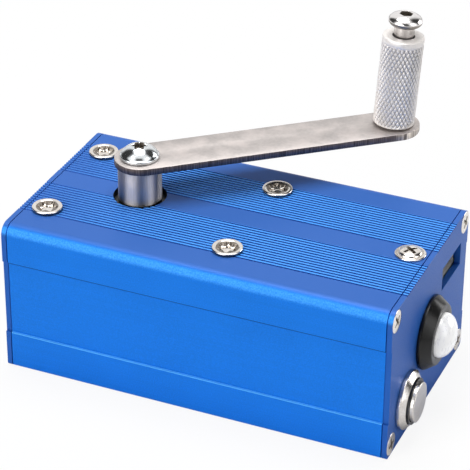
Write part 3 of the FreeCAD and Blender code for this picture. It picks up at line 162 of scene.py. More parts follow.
def reflected_strength(tree):
    """How bright the white surroundings are in reflections, with their patches."""
    direction = tree.nodes.new("ShaderNodeTexCoord").outputs["Generated"]
    parts = tree.nodes.new("ShaderNodeSeparateXYZ")
    tree.links.new(direction, parts.inputs[0])
    height = math_node(tree, "ARCSINE", parts.outputs["Z"])
    strength = 1.0
    for azimuth, half_width, top, left in REFLECTED_PATCHES:
        angle = math.radians(VIEW_AZIMUTH + azimuth)
        toward = (math.sin(angle), -math.cos(angle))
        along = math_node(tree, "MULTIPLY", parts.outputs["X"], toward[0])
        along = math_node(tree, "MULTIPLY_ADD", parts.outputs["Y"], toward[1], along)
        across = math_node(tree, "MULTIPLY", parts.outputs["X"], -toward[1])
        across = math_node(tree, "MULTIPLY_ADD", parts.outputs["Y"], toward[0], across)
        away = math_node(tree, "ABSOLUTE", math_node(tree, "ARCTAN2", across, along))
        edge = math.radians(half_width)
        beside = smooth_step(tree, away, edge * PATCH_EDGE_START, edge * PATCH_EDGE_END)
        above = smooth_step(tree, height, math.radians(top - PATCH_TOP_BELOW),
                            math.radians(top + PATCH_TOP_ABOVE))
        outside = math_node(tree, "MAXIMUM", beside, above)
        share = math_node(tree, "MULTIPLY_ADD", outside, 1 - left, left)
        strength = math_node(tree, "MULTIPLY", share, strength)
    return strength


def make_world():
    """Even surroundings, pure white behind the object, with patches in reflections."""
    world = bpy.data.worlds.new("studio")
    bpy.context.scene.world = world
    world.use_nodes = True
    tree = world.node_tree
    tree.nodes.clear()
    output = tree.nodes.new("ShaderNodeOutputWorld")
    ambient = tree.nodes.new("ShaderNodeBackground")
    ambient.inputs["Strength"].default_value = WORLD_LIGHT
    white = tree.nodes.new("ShaderNodeBackground")
    for background in (ambient, white):
        background.inputs["Color"].default_value = (1, 1, 1, 1)
    path = tree.nodes.new("ShaderNodeLightPath")
    glossy = path.outputs["Is Glossy Ray"]
    plain = math_node(tree, "SUBTRACT", 1.0, glossy)
    reflected = math_node(tree, "MULTIPLY", glossy, reflected_strength(tree))
    tree.links.new(math_node(tree, "ADD", plain, reflected), white.inputs["Strength"])
    seen = math_node(tree, "MAXIMUM", path.outputs["Is Camera Ray"],
                     path.outputs["Is Transmission Ray"])
    mix = tree.nodes.new("ShaderNodeMixShader")
    tree.links.new(math_node(tree, "MAXIMUM", seen, glossy), mix.inputs["Fac"])
    tree.links.new(ambient.outputs[0], mix.inputs[1])
    tree.links.new(white.outputs[0], mix.inputs[2])
    tree.links.new(mix.outputs[0], output.inputs["Surface"])


def make_floor():
    """A plain pale floor that keeps a light shadow."""
    mesh = bpy.data.meshes.new("floor")
    reach = FLOOR_REACH
    corners = [(-reach, -reach, 0), (reach, -reach, 0), (reach, reach, 0), (-reach, reach, 0)]
    mesh.from_pydata(corners, [], [(0, 1, 2, 3)])
    floor = bpy.data.objects.new("floor", mesh)
    bpy.context.scene.collection.objects.link(floor)
    surface = bpy.data.materials.new("floor")
    surface.use_nodes = True
    tree = surface.node_tree
    tree.nodes.clear()
    output = tree.nodes.new("ShaderNodeOutputMaterial")
    diffuse = tree.nodes.new("ShaderNodeBsdfDiffuse")
    diffuse.inputs["Color"].default_value = FLOOR_COLOR
    glow = tree.nodes.new("ShaderNodeEmission")
    glow.inputs["Strength"].default_value = 1.0
    path = tree.nodes.new("ShaderNodeLightPath")
    seen = math_node(tree, "MAXIMUM", path.outputs["Is Camera Ray"],
                     path.outputs["Is Transmission Ray"])
    mix = tree.nodes.new("ShaderNodeMixShader")
    tree.links.new(math_node(tree, "MULTIPLY", seen, FLOOR_GLOW_SHARE), mix.inputs["Fac"])
    tree.links.new(diffuse.outputs[0], mix.inputs[1])
    tree.links.new(glow.outputs[0], mix.inputs[2])
    tree.links.new(mix.outputs[0], output.inputs["Surface"])
    mesh.materials.append(surface)


# materials


class Surface:
    """One node material, with its Principled shader and a frame-fixed coordinate."""

    def __init__(self, name, color, metallic, roughness):
        self.material = bpy.data.materials.new(name)
        self.material.use_nodes = True
        self.tree = self.material.node_tree
        self.shader = self.tree.nodes["Principled BSDF"]
        self.shader.inputs["Base Color"].default_value = (*color, 1)
        self.shader.inputs["Metallic"].default_value = metallic
        self.shader.inputs["Roughness"].default_value = roughness
        self.where = self.tree.nodes.new("ShaderNodeTexCoord").outputs["Object"]

    def node(self, kind, **inputs):
        """Add a node; each named input is a number, a tuple or a socket."""
        made = self.tree.nodes.new(kind)
        for name, value in inputs.items():
            socket = made.inputs[name.replace("_", " ")]
            if hasattr(value, "is_output"):
                self.tree.links.new(value, socket)
            else:
                socket.default_value = value
        return made

    def noise(self, size, stretch=(1, 1, 1), detail=3.0):
        """Noise whose features are about size millimetres, drawn out along some axes."""
        scale = tuple(1 / (size * MM * part) for part in stretch)
        mapping = self.node("ShaderNodeMapping", Vector=self.where, Scale=scale)
        noise = self.node("ShaderNodeTexNoise", Vector=mapping.outputs[0], Scale=1.0,
                          Detail=detail, Roughness=0.55)
        return noise.outputs["Fac"]

    def remap(self, source, low, high, start=0.35, stop=0.65):
        """Map the useful span of a noise to a range of values."""
        node = self.node("ShaderNodeMapRange", Value=source)
        node.inputs["From Min"].default_value = start
        node.inputs["From Max"].default_value = stop
        node.inputs["To Min"].default_value = low
        node.inputs["To Max"].default_value = high
        return node.outputs["Result"]

    def blend(self, factor, first, second):
        """Mix two colours, each a tuple or a socket."""
        mix = self.tree.nodes.new("ShaderNodeMix")
        mix.data_type = "RGBA"
        self.tree.links.new(factor, mix.inputs["Factor"])
        for socket, color in zip((mix.inputs[6], mix.inputs[7]), (first, second)):
            if hasattr(color, "is_output"):
                self.tree.links.new(color, socket)
            else:
                socket.default_value = (*color, 1)
        return mix.outputs[2]

    def paint(self, socket):
        """Drive the base colour."""
        self.tree.links.new(socket, self.shader.inputs["Base Color"])

    def rough(self, socket):
        """Drive the roughness."""
        self.tree.links.new(socket, self.shader.inputs["Roughness"])

    def bump(self, height, depth):
        """Raise the surface by a height field, depth in millimetres."""
        bump = self.node("ShaderNodeBump", Height=height, Distance=depth * MM, Strength=1.0)
        previous = self.shader.inputs["Normal"].links
        if previous:
            self.tree.links.new(previous[0].from_socket, bump.inputs["Normal"])
        self.tree.links.new(bump.outputs[0], self.shader.inputs["Normal"])


def shade(color, factor):
    """A lighter or darker version of a colour."""
    return tuple(min(1.0, part * factor) for part in color)


# the case's anodising, with its painted reflections, highlights and shade, by place
BLUE = (0.008, 0.192, 0.76)
PLATE_REFLECTION_BLUE = (0.020, 0.115, 0.46)
TOP_REFLECTION_BLUE = (0.042, 0.145, 0.50)
EDGE_SHEEN = ((0.015, 0.23, 0.82), (0.06, 0.36, 0.96))
GROOVE_FLOOR_SHADE, RIDGE_HIGHLIGHT = (0.001, 0.034, 0.27), (0.08, 0.36, 0.98)
LEDGE_SHADOW, LEDGE_GLINT = (0.001, 0.015, 0.09), (0.10, 0.48, 1.0)
HOLE_SHADE = (0.002, 0.004, 0.012)

# millimetres, in the part's frame
UPPER_LEDGE = (29.58, 30.02)
LOWER_LEDGE = (9.78, 10.10)
SIDE_PANEL = 26.7
GROOVES_NEAR, GROOVES_FAR = 3.38, 18.02
GROOVE_DEPTH = 0.3
RIDGE_FADE_START, RIDGE_FADE_END = -65, -10
CRANK_HOLE_RADIUS = 6.6
CRANK_HOLE_LOW = 30
PLATE_THICKNESS = 1.5


def place_of(made, axis):
    """One coordinate in the part's frame, in metres."""
    return made.node("ShaderNodeSeparateXYZ", Vector=made.where).outputs[axis]


def product(made, *factors):
    """All the factors multiplied."""
    result = factors[0]
    for factor in factors[1:]:
        result = math_node(made.tree, "MULTIPLY", result, factor)
    return result


def off_middle(made, axis):
    """How far a point is from the middle along one axis, in metres."""
    return math_node(made.tree, "ABSOLUTE", place_of(made, axis))


def top_reflection_share(made):
    """The top face, painted greyer than the sides as a painted reflection of the light from above."""
    return smooth_step(made.tree, place_of(made, "Z"), (CASE_TOP - 0.8) * MM,
                       (CASE_TOP - 0.1) * MM)


def edge_highlight_share(made):
    """The long rounded top edges, where a highlight is painted."""
    level = place_of(made, "Z")
    rise = smooth_step(made.tree, level, (CASE_TOP - 2.9) * MM, (CASE_TOP - 1.6) * MM)
    fall = smooth_step(made.tree, level, (CASE_TOP - 0.35) * MM, (CASE_TOP - 1.1) * MM)
    side = math_node(made.tree, "GREATER_THAN", off_middle(made, "Y"), (SIDE_PANEL - 3) * MM)
    return product(made, rise, fall, side)


def ledge_share(made, low, high):
    """A narrow level on the long sides, where a ledge of the side panel runs."""
    level = place_of(made, "Z")
    above = math_node(made.tree, "GREATER_THAN", level, low * MM)
    below = math_node(made.tree, "LESS_THAN", level, high * MM)
    side = math_node(made.tree, "GREATER_THAN", off_middle(made, "Y"), SIDE_PANEL * MM)
    body = math_node(made.tree, "SUBTRACT", 1.0, end_plate_share(made))
    return product(made, above, below, side, body)


def grooved_top(made):
    """A mask of the two grooved bands, and how near each point is to the ridges, for painted shade and highlights.
    """
    y = off_middle(made, "Y")
    level = place_of(made, "Z")
    inner = math_node(made.tree, "GREATER_THAN", y, GROOVES_NEAR * MM)
    outer = math_node(made.tree, "LESS_THAN", y, GROOVES_FAR * MM)
    high = math_node(made.tree, "GREATER_THAN", level, (CASE_TOP - GROOVE_DEPTH - 0.1) * MM)
    ridge = smooth_step(made.tree, level, (CASE_TOP - 0.12) * MM, (CASE_TOP - 0.01) * MM)
    return product(made, inner, outer, high), ridge


def end_plate_share(made):
    """The two end plates, whose darker, greyer blue is a painted reflection."""
    return math_node(made.tree, "GREATER_THAN", off_middle(made, "X"),
                     (PLATE_FACE - PLATE_THICKNESS) * MM)


def crank_hole_share(made):
    """The wall of the hole round the crank hub, painted near black as painted shade."""
    x = math_node(made.tree, "SUBTRACT", place_of(made, "X"), CRANK_X * MM)
    y = place_of(made, "Y")
    square = math_node(made.tree, "MULTIPLY_ADD", y, y, product(made, x, x))
    reach = (CRANK_HOLE_RADIUS + 0.03) * MM
    near = math_node(made.tree, "LESS_THAN", square, reach * reach)
    high = math_node(made.tree, "GREATER_THAN", place_of(made, "Z"), CRANK_HOLE_LOW * MM)
    return product(made, near, high)


def anodised_blue():
    """Satin blue anodising on extruded aluminium: draw lines, grain and a clear skin, with painted reflections,
    highlights and shade by place.
    """
    made = Surface("anodised_blue", BLUE, 0.14, 0.40)
    grain = made.noise(0.35, detail=4.0)
    lines = made.noise(0.5, stretch=(60, 1, 1), detail=2.0)
    cloud = made.noise(18.0, detail=2.0)
    grainy = made.remap(grain, 0.0, 1.0)
    tone = made.blend(grainy, shade(BLUE, 0.90), shade(BLUE, 1.10))
    tone = made.blend(made.remap(lines, 0.0, 0.35), tone, shade(BLUE, 0.86))
    tone = made.blend(made.remap(cloud, 0.0, 0.25), tone, shade(BLUE, 1.15))
    # painted reflection: the end plates darker and greyer
    tone = made.blend(end_plate_share(made), tone, PLATE_REFLECTION_BLUE)
    # painted reflection: the top face greyer than the sides
    tone = made.blend(top_reflection_share(made), tone, TOP_REFLECTION_BLUE)
    # painted highlight along the long rounded top edges
    tone = made.blend(edge_highlight_share(made), tone, made.blend(grainy, *EDGE_SHEEN))
    band, ridge = grooved_top(made)
    # painted shade on the groove floors and painted highlight on the ridges, fading out towards the left end
    painted_stripes = made.blend(ridge, GROOVE_FLOOR_SHADE, RIDGE_HIGHLIGHT)
    stripe_share = smooth_step(made.tree, place_of(made, "X"), RIDGE_FADE_START * MM,
                        RIDGE_FADE_END * MM)
    tone = made.blend(band, tone, made.blend(stripe_share, tone, painted_stripes))
    tone = made.blend(ledge_share(made, *UPPER_LEDGE), tone, LEDGE_SHADOW)
    tone = made.blend(ledge_share(made, *LOWER_LEDGE), tone, LEDGE_GLINT)
    # painted shade inside the hole round the crank hub
    tone = made.blend(crank_hole_share(made), tone, HOLE_SHADE)
    made.paint(tone)
    made.rough(made.remap(grain, 0.33, 0.42))
    made.bump(grain, 0.006)
    made.bump(lines, 0.004)
    made.shader.inputs["Specular IOR Level"].default_value = 0.08
    made.shader.inputs["Coat Weight"].default_value = 0.04
    made.shader.inputs["Coat Roughness"].default_value = 0.40
    return made.material


def steel(name, color, roughness, grain_stretch, spread=0.12, stain=None, bump=0.01,
          metallic=1.0):
    """Bare or plated steel with drawn-out grain and soft stains."""
    made = Surface(name, color, metallic, roughness)
    grain = made.noise(0.25, stretch=grain_stretch, detail=4.0)
    cloud = made.noise(5.0, detail=3.0)
    tone = made.blend(made.remap(grain, 0.0, 1.0), shade(color, 1 - spread),
                      shade(color, 1 + spread))
    if stain:
        tone = made.blend(made.remap(cloud, 0.0, 0.6, 0.45, 0.7), tone, stain)
    made.paint(tone)
    made.rough(made.remap(cloud, roughness * 0.85, roughness * 1.2))
    made.bump(grain, bump)
    return made.material


def turned(material, share):
    """Give a steel the vertical streaks of a surface turned round the Z axis."""
    tree = material.node_tree
    shader = tree.nodes["Principled BSDF"]
    tangent = tree.nodes.new("ShaderNodeTangent")
    tangent.direction_type = "RADIAL"
    tangent.axis = "Z"
    tree.links.new(tangent.outputs[0], shader.inputs["Tangent"])
    shader.inputs["Anisotropic"].default_value = share
    shader.inputs["Anisotropic Rotation"].default_value = 0.25
    return material


def plastic(name, color, roughness, size=0.4, coat=0.0):
    """Moulded plastic with a fine grain."""
    made = Surface(name, color, 0.0, roughness)
    grain = made.noise(size, detail=4.0)
    cloud = made.noise(6.0, detail=2.0)
    made.paint(made.blend(made.remap(grain, 0.0, 1.0), shade(color, 0.85),
                          shade(color, 1.15)))
    made.rough(made.remap(cloud, roughness * 0.85, roughness * 1.15))
    made.bump(grain, 0.006)
    made.shader.inputs["Specular IOR Level"].default_value = 0.35
    made.shader.inputs["Coat Weight"].default_value = coat
    return made.material


def lens_plastic():
    """Pale lens with the faceted optic inside showing through as soft grey marks, and a faint painted glow."""
    made = Surface("lens_clear", (0.95, 0.95, 0.95), 0.0, 0.12)
    marks = made.noise(0.7, stretch=(1, 0.6, 1.8), detail=5.0)
    fine = made.noise(0.35, detail=3.0)
    tone = made.blend(made.remap(marks, 0.0, 1.0, 0.5, 0.68), (1.0, 1.0, 1.0),
                      (0.78, 0.78, 0.80))
    tone = made.blend(made.remap(fine, 0.0, 0.35, 0.45, 0.7), tone, (0.90, 0.90, 0.92))
    made.paint(tone)
    made.bump(fine, 0.01)
    made.shader.inputs["Coat Weight"].default_value = 1.0
    made.shader.inputs["Coat Roughness"].default_value = 0.04
    # painted glow: the unlit lens emits a little of its own tone
    made.tree.links.new(tone, made.shader.inputs["Emission Color"])
    made.shader.inputs["Emission Strength"].default_value = 0.16
    return made.material


# where the painted highlight on the arm's edge starts and is complete, from the handle's axis
END_HIGHLIGHT_FROM, END_HIGHLIGHT_FULL = -3, 2


def cut_edge():
    """The sheared edge of the arm: dark and streaked, with a streaked painted highlight round its far end."""
    made = Surface("cut_edge", (0.085, 0.072, 0.078), 1.0, 0.45)
    streaks = made.noise(0.5, stretch=(1, 1, 30), detail=3.0)
    fine = made.noise(0.2, stretch=(1, 1, 40), detail=3.0)
    x = math_node(made.tree, "SUBTRACT", place_of(made, "X"), CRANK_X * MM)
    along = math_node(made.tree, "MULTIPLY", x, math.cos(ARM_ANGLE))
    along = math_node(made.tree, "MULTIPLY_ADD", place_of(made, "Y"), math.sin(ARM_ANGLE), along)
    dark = made.blend(made.remap(fine, 0.0, 1.0), (0.07, 0.055, 0.055), (0.20, 0.165, 0.160))
    # painted highlight round the far end, where the edge faces the light
    end_highlight = made.blend(made.remap(streaks, 0.0, 1.0, 0.42, 0.58), (0.70, 0.64, 0.58),
                      (0.16, 0.14, 0.13))
    end_highlight_share = smooth_step(made.tree, along, (ARM_REACH + END_HIGHLIGHT_FROM) * MM,
                             (ARM_REACH + END_HIGHLIGHT_FULL) * MM)
    made.paint(made.blend(end_highlight_share, dark, end_highlight))
    made.bump(fine, 0.03)
    return made.material


MATERIALS = {
    "blue_anodised": anodised_blue(),
    "steel_arm": steel("rolled_steel", (0.465, 0.43, 0.415), 0.52, (4, 4, 1), 0.065,
                       stain=(0.575, 0.525, 0.505)),
    "steel_hub": turned(steel("turned_steel", (0.50, 0.475, 0.485), 0.40, (1, 1, 14), 0.10),
                        0.95),
    "zinc_screw": steel("zinc_plate", (0.78, 0.74, 0.69), 0.16, (1, 1, 1), 0.08,
                        stain=(0.70, 0.62, 0.56), bump=0.004),
    "polished_steel": steel("polished_steel", (0.80, 0.775, 0.765), 0.17, (1, 1, 1), 0.03,
                            bump=0.001),
    "knurled_aluminium": steel("knurled_aluminium", (0.87, 0.83, 0.80), 0.38, (1, 1, 1),
                               0.05, metallic=0.3),
    "black_plastic": plastic("black_satin", (0.004, 0.004, 0.004), 0.24),
    "clear_lens": lens_plastic(),
    "switch_metal": steel("satin_steel", (0.64, 0.61, 0.585), 0.22, (14, 1, 1), 0.16,
                          stain=(0.56, 0.51, 0.46)),
    "usb_metal": steel("bright_nickel", (0.95, 0.91, 0.84), 0.14, (6, 1, 1), 0.09,
                       metallic=0.5),
    "contact_gold": steel("gold_plate", (0.80, 0.58, 0.22), 0.25, (4, 1, 1), 0.05),
    "gear_brass": steel("gear_brass", (0.70, 0.52, 0.22), 0.32, (1, 1, 6), 0.08),
    "gear_steel": steel("gear_steel", (0.50, 0.50, 0.51), 0.34, (1, 1, 6), 0.08),
    "bronze_bush": steel("bronze_bush", (0.52, 0.34, 0.18), 0.45, (1, 1, 1), 0.12),
    "plate_steel": steel("blackened_sheet", (0.10, 0.10, 0.105), 0.42, (10, 1, 1), 0.10),
    "circuit_green": plastic("solder_mask", (0.02, 0.16, 0.06), 0.30, 0.8, 0.4),
    "magnet_black": plastic("ferrite", (0.05, 0.05, 0.055), 0.60, 0.3),
    "copper_winding": steel("enamelled_copper", (0.55, 0.22, 0.10), 0.35, (1, 1, 0.2), 0.15),
    "reflector_silver": steel("metallised", (0.85, 0.85, 0.86), 0.12, (1, 1, 1), 0.03),
    "led_yellow": plastic("phosphor", (0.80, 0.72, 0.35), 0.45, 0.2),
}

# materials of no slot of their own: the crank screw, and the painted shade and highlight on parts of some pieces
BRIGHT_ZINC = steel("bright_zinc", (0.74, 0.77, 0.79), 0.14, (1, 1, 1), 0.07, bump=0.004)
# painted shade for recesses and gaps
RECESS = steel("recess_shade", (0.26, 0.235, 0.205), 0.35, (1, 1, 1), 0.25)
# painted shade for screw heads' sides and recess walls
RECESS_WALL_SHADE = steel("recess_wall_shade", (0.24, 0.21, 0.18), 0.30, (1, 1, 1), 0.20)
CUT_EDGE = cut_edge()
# painted shade for the deep faces of the knurl
KNURL_FLOOR_SHADE = steel("knurl_floor_shade", (0.42, 0.40, 0.405), 0.5, (1, 1, 1), 0.15, metallic=0.0)
# painted shade: the arm's steel underside darkened
UNDERSIDE_SHADE = steel("arm_underside", (0.10, 0.095, 0.09), 0.5, (5, 5, 1), 0.10)


def dress_cad_nodes():
    """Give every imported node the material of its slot."""
    for entry in frame["record"]["subparts"]:
        node = frame["nodes"][entry["node"]]
        for slot in node.material_slots:
            slot.material = MATERIALS[entry["material_slot"]]


# shapes made of rings

SMOOTH_LIMIT = math.radians(38)

# points round a ring: most pieces, the broad ones, and the one with a hexagon socket
ROUND_COUNT, FINE_COUNT, HEXAGON_COUNT = 96, 128, 144


def ring(radius, height, count=ROUND_COUNT):
    """Points round an axis; radius may depend on the angle, and height on the radius."""
    points = []
    for step in range(count):
        angle = 2 * math.pi * step / count
        reach = radius(angle) if callable(radius) else radius
        level = height(reach) if callable(height) else height
        points.append((reach * math.cos(angle), reach * math.sin(angle), level))
    return points


def lathe_rings(profile, count=ROUND_COUNT):
    """One ring for each (radius, height) of a profile."""
    return [ring(radius, height, count) for radius, height in profile]


def rounded(points, radius, steps=4):
    """Replace each inner corner of a profile by a small arc-like curve."""
    result = [points[0]]
    for before, corner, after in zip(points, points[1:], points[2:]):
        before, corner, after = Vector(before), Vector(corner), Vector(after)
        toward_before = (before - corner).normalized()
        toward_after = (after - corner).normalized()
        cut = min(radius, (before - corner).length * 0.45, (after - corner).length * 0.45)
        first = corner + toward_before * cut
        last = corner + toward_after * cut
        for step in range(steps + 1):
            share = step / steps
            point = first.lerp(corner, share).lerp(corner.lerp(last, share), share)
            result.append(tuple(point))
    result.append(points[-1])
    return result


def smooth_curve(points, steps=5):
    """A curve through all the points of a profile."""
    padded = [points[0], *points, points[-1]]
    result = []
    for index in range(len(points) - 1):
        p0, p1, p2, p3 = (Vector(p) for p in padded[index:index + 4])
        for step in range(steps):
            t = step / steps
            result.append(tuple(0.5 * (
                2 * p1 + (p2 - p0) * t + (2 * p0 - 5 * p1 + 4 * p2 - p3) * t * t
                + (3 * p1 - p0 - 3 * p2 + p3) * t * t * t
            )))
    result.append(tuple(points[-1]))
    return result


def add_rings(bm, rings, place, closed=False, second=()):
    """Skin rings of equal count into a closed shell; spans of them take the second material."""
    loops = [[bm.verts.new(place @ (Vector(point) * MM)) for point in one] for one in rings]
    pairs = list(zip(loops, loops[1:]))
    if closed:
        pairs.append((loops[-1], loops[0]))
    for step, (low, high) in enumerate(pairs):
        count = len(low)
        for index in range(count):
            following = (index + 1) % count
            face = bm.faces.new((low[index], low[following], high[following], high[index]))
            if any(start <= step < stop for start, stop in second):
                face.material_index = 1
    if not closed:
        bm.faces.new(list(reversed(loops[0])))
        bm.faces.new(loops[-1])


def finish_piece(name, bm, body, slot, replaces=(), material=None, second=None):
    """Turn a bmesh into a piece with crisp corners that rides on its body.

    Its faces take the slot's material, or the one given, and some take the second.
    """
    bmesh.ops.recalc_face_normals(bm, faces=bm.faces)
    for face in bm.faces:
        face.smooth = True
    for edge in bm.edges:
        if len(edge.link_faces) == 2 and edge.calc_face_angle(0) > SMOOTH_LIMIT:
            edge.smooth = False
    mesh = bpy.data.meshes.new(name)
    bm.to_mesh(mesh)
    bm.free()
    mesh.materials.append(material or MATERIALS[slot])
    if second:
        mesh.materials.append(second)
    piece = bpy.data.objects.new(name, mesh)
    bpy.context.scene.collection.objects.link(piece)
    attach(piece, body)
    if replaces:
        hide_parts(*replaces)
    return piece


def piece_from_rings(name, rings, places, body, slot, replaces=(), closed=False,
                     material=None, shaded=(), shade_material=None):
    """Make one piece from copies of a ring-built shape; shaded spans of rings are darker."""
    bm = bmesh.new()
    for place in places:
        add_rings(bm, rings, place, closed, shaded)
    second = (shade_material or RECESS) if shaded else None
    return finish_piece(name, bm, body, slot, replaces, material, second)


# driver recesses


def star(radius, lobe=0.16):
    """Six round lobes, each a share of the radius high."""
    return lambda angle: radius * (1 - lobe + lobe * math.cos(6 * angle))


def cross(reach, half_width):
    """Two crossed slots."""

    def slot(angle):
        along = reach / max(abs(math.cos(angle)), 1e-6)
        across = half_width / max(abs(math.sin(angle)), 1e-6)
        return min(along, across)

    return lambda angle: max(slot(angle), slot(angle + math.pi / 2))


def hexagon(apothem):
    """Six flats."""
    return lambda angle: apothem / math.cos((angle + math.pi / 6) % (math.pi / 3) - math.pi / 6)


def recess_rings(outline, top, depth, taper=0.9, count=ROUND_COUNT):
    """Rings from a recess's rounded lip down to its floor; top may follow the radius."""

    def widened(factor):
        return lambda angle: outline(angle) * factor

    def lower(drop):
        return (lambda reach: top(reach) - drop) if callable(top) else top - drop

    level = top(0) if callable(top) else top
    return [
        ring(widened(1.06), top, count),
        ring(widened(1.0), lower(0.05), count),
        ring(widened(0.98), lower(0.14), count),
        ring(widened(taper), level - depth, count),
        ring(widened(taper * 0.4), level - depth * 1.1, count),
    ]


# places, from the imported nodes


def centre_of(node):
    """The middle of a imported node's box, in millimetres."""
    low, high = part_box(node)
    return (low + high) / 2 / MM


def upright(x, y, z):
    """Local Z kept upright."""
    return Matrix.Translation(Vector((x, y, z)) * MM)


def facing(direction, x, y, z):
    """Local Z turned to +X or -X."""
    return upright(x, y, z) @ Matrix.Rotation(direction * math.pi / 2, 4, "Y")


def handle_place():
    """The handle's leaned axis, from the top of the arm."""
    joint = JOINTS["handle_spin"]
    turn = Vector((0, 0, 1)).rotation_difference(Vector(joint["axis"]))
    return Matrix.Translation(Vector(joint["pos_m"])) @ turn.to_matrix().to_4x4()


LAMP_Z = centre_of("lamp_bezel").z
SWITCH_Y, SWITCH_Z = centre_of("switch_body").yz


def solids_of(node):
    """Lowest and highest corner, in millimetres, of each separate solid of a node."""
    bm = bmesh.new()
    bm.from_mesh(frame["nodes"][node].data)
    bmesh.ops.remove_doubles(bm, verts=bm.verts, dist=1e-6)
    seen = set()
    boxes = []
    for start in bm.verts:
        if start in seen:
            continue
        seen.add(start)
        waiting = [start]
        points = []
        while waiting:
            vert = waiting.pop()
            points.append(vert.co / MM)
            for edge in vert.link_edges:
                other = edge.other_vert(vert)
                if other not in seen:
                    seen.add(other)
                    waiting.append(other)
        low = Vector([min(point[axis] for point in points) for axis in range(3)])
        high = Vector([max(point[axis] for point in points) for axis in range(3)])
        boxes.append((low, high))
    bm.free()
    return boxes


# screws, in millimetres and radians: thread radii, shank lengths, recesses and turns

M3, M4, M5 = 1.5, 2.0, 2.5
GEARBOX_SHANK, BRACKET_SHANK, PLATE_SHANK, CRANK_SHANK = 12.0, 6.0, 11.5, 6.0
GEARBOX_STAR, CRANK_STAR = 2.6, 1.95
STAR_WALL = ((1.0, 0.72), (0.95, 0.55), (0.80, 0.12), (0.70, 0.02))
STAR_FLOOR = [(1.0, 0.05), (0.5, 0.2), (0.1, 0.26)]
SHADED_FROM = 0.45
GEARBOX_TURN, GEARBOX_TURN_STEP = 0.3, 0.23
BRACKET_TURN, CRANK_SCREW_TURN = math.radians(52), math.radians(23)
BRACKET_DOME, PLATE_DOME, CRANK_DOME = 2.75, 2.8, 4.75
BRACKET_CROSS, PLATE_CROSS = (1.75, 0.42), (1.65, 0.4)
PLATE_TURNS = [
    ("right_plate_screws", 1, (0.35, 0.9, 0.15, 0.6)),
    ("left_plate_screws", -1, (0.2, 0.7, 0.5, 1.0)),
]


def shank(radius, length):
    """A plain shank with a small point chamfer, below the head's seat at zero."""
    return [(radius - 0.4, -length), (radius, -length + 0.4)]


def make_gearbox_screws():
    """Thin heads with a flat bright rim and a dished star recess."""
    head = rounded([
        (M4, 0.0), (3.4, 0.0), (3.5, 0.2), (3.75, 0.34), (3.75, 0.72), (3.6, 0.9),
        (2.95, 0.86), (2.75, 0.76),
    ], 0.1, 3)
    rings = lathe_rings(shank(M4, GEARBOX_SHANK) + head)
    walls = len(rings)
    side = walls - sum(1 for _, level in head if level > SHADED_FROM)
    rings += [ring(star(GEARBOX_STAR * share), level) for share, level in STAR_WALL]
    rings += lathe_rings(STAR_FLOOR)
    places = []
    for index, (low, high) in enumerate(solids_of("gearbox_screws")):
        centre = (low + high) / 2
        turn = Matrix.Rotation(GEARBOX_TURN + GEARBOX_TURN_STEP * index, 4, "Z")
        places.append(upright(centre.x, centre.y, CASE_TOP) @ turn)
    # the shank, the head's side below its rim and the star's walls take painted shade
    piece_from_rings("gearbox_screw_heads", rings, places, "case", "zinc_screw",
                     ["gearbox_screws"], shaded=((0, side), (walls - 1, walls + 2)),
                     shade_material=RECESS_WALL_SHADE)


def make_bracket_screw():
    """A washer-like rim with a raised cross-recess dome."""

    def dome(reach):
        return 0.55 + 0.85 * math.sqrt(max(0.0, 1 - (reach / BRACKET_DOME) ** 2))

    head = rounded([
        (M4, 0.0), (3.45, 0.0), (3.75, 0.14), (3.75, 0.36), (3.55, 0.5), (3.05, 0.5),
        (2.95, 0.3), (2.8, 0.3), (BRACKET_DOME, 0.55),
    ], 0.04, 3)
    rings = lathe_rings(shank(M4, BRACKET_SHANK) + head)
    rings += [ring(radius, dome) for radius in (2.7, 2.6, 2.4, 2.15, 1.95)]
    walls = len(rings) + 1
    rings += recess_rings(cross(*BRACKET_CROSS), dome, 0.95, 0.6)
    centre = centre_of("bracket_screw")
    turn = Matrix.Rotation(BRACKET_TURN, 4, "Z")
    piece_from_rings("bracket_screw_head", rings, [upright(centre.x, centre.y, CASE_TOP) @ turn],
                     "case", "zinc_screw", ["bracket_screw"], shaded=((walls, len(rings)),))


def make_plate_screws():
    """Countersunk cross-recess screws at the corners of both end plates."""

    def crown(reach):
        return 0.03 + 0.16 * math.sqrt(max(0.0, 1 - (reach / PLATE_DOME) ** 2))

    head = [(M3, -1.3), (2.78, -0.02), (PLATE_DOME, 0.0)]
    rings = lathe_rings(shank(M3, PLATE_SHANK) + head)
    rings += [ring(radius, crown) for radius in (2.74, 2.6, 2.3, 1.95)]
    walls = len(rings) + 1
    rings += recess_rings(cross(*PLATE_CROSS), crown, 0.9, 0.6)
    for node, direction, angles in PLATE_TURNS:
        places = []
        for (low, high), angle in zip(solids_of(node), angles):
            centre = (low + high) / 2
            places.append(facing(direction, direction * PLATE_FACE, centre.y, centre.z)
                          @ Matrix.Rotation(angle, 4, "Z"))
        piece_from_rings(node.replace("screws", "screw_heads"), rings, places, "case",
                         "zinc_screw", [node], shaded=((walls, len(rings)),))


# crank


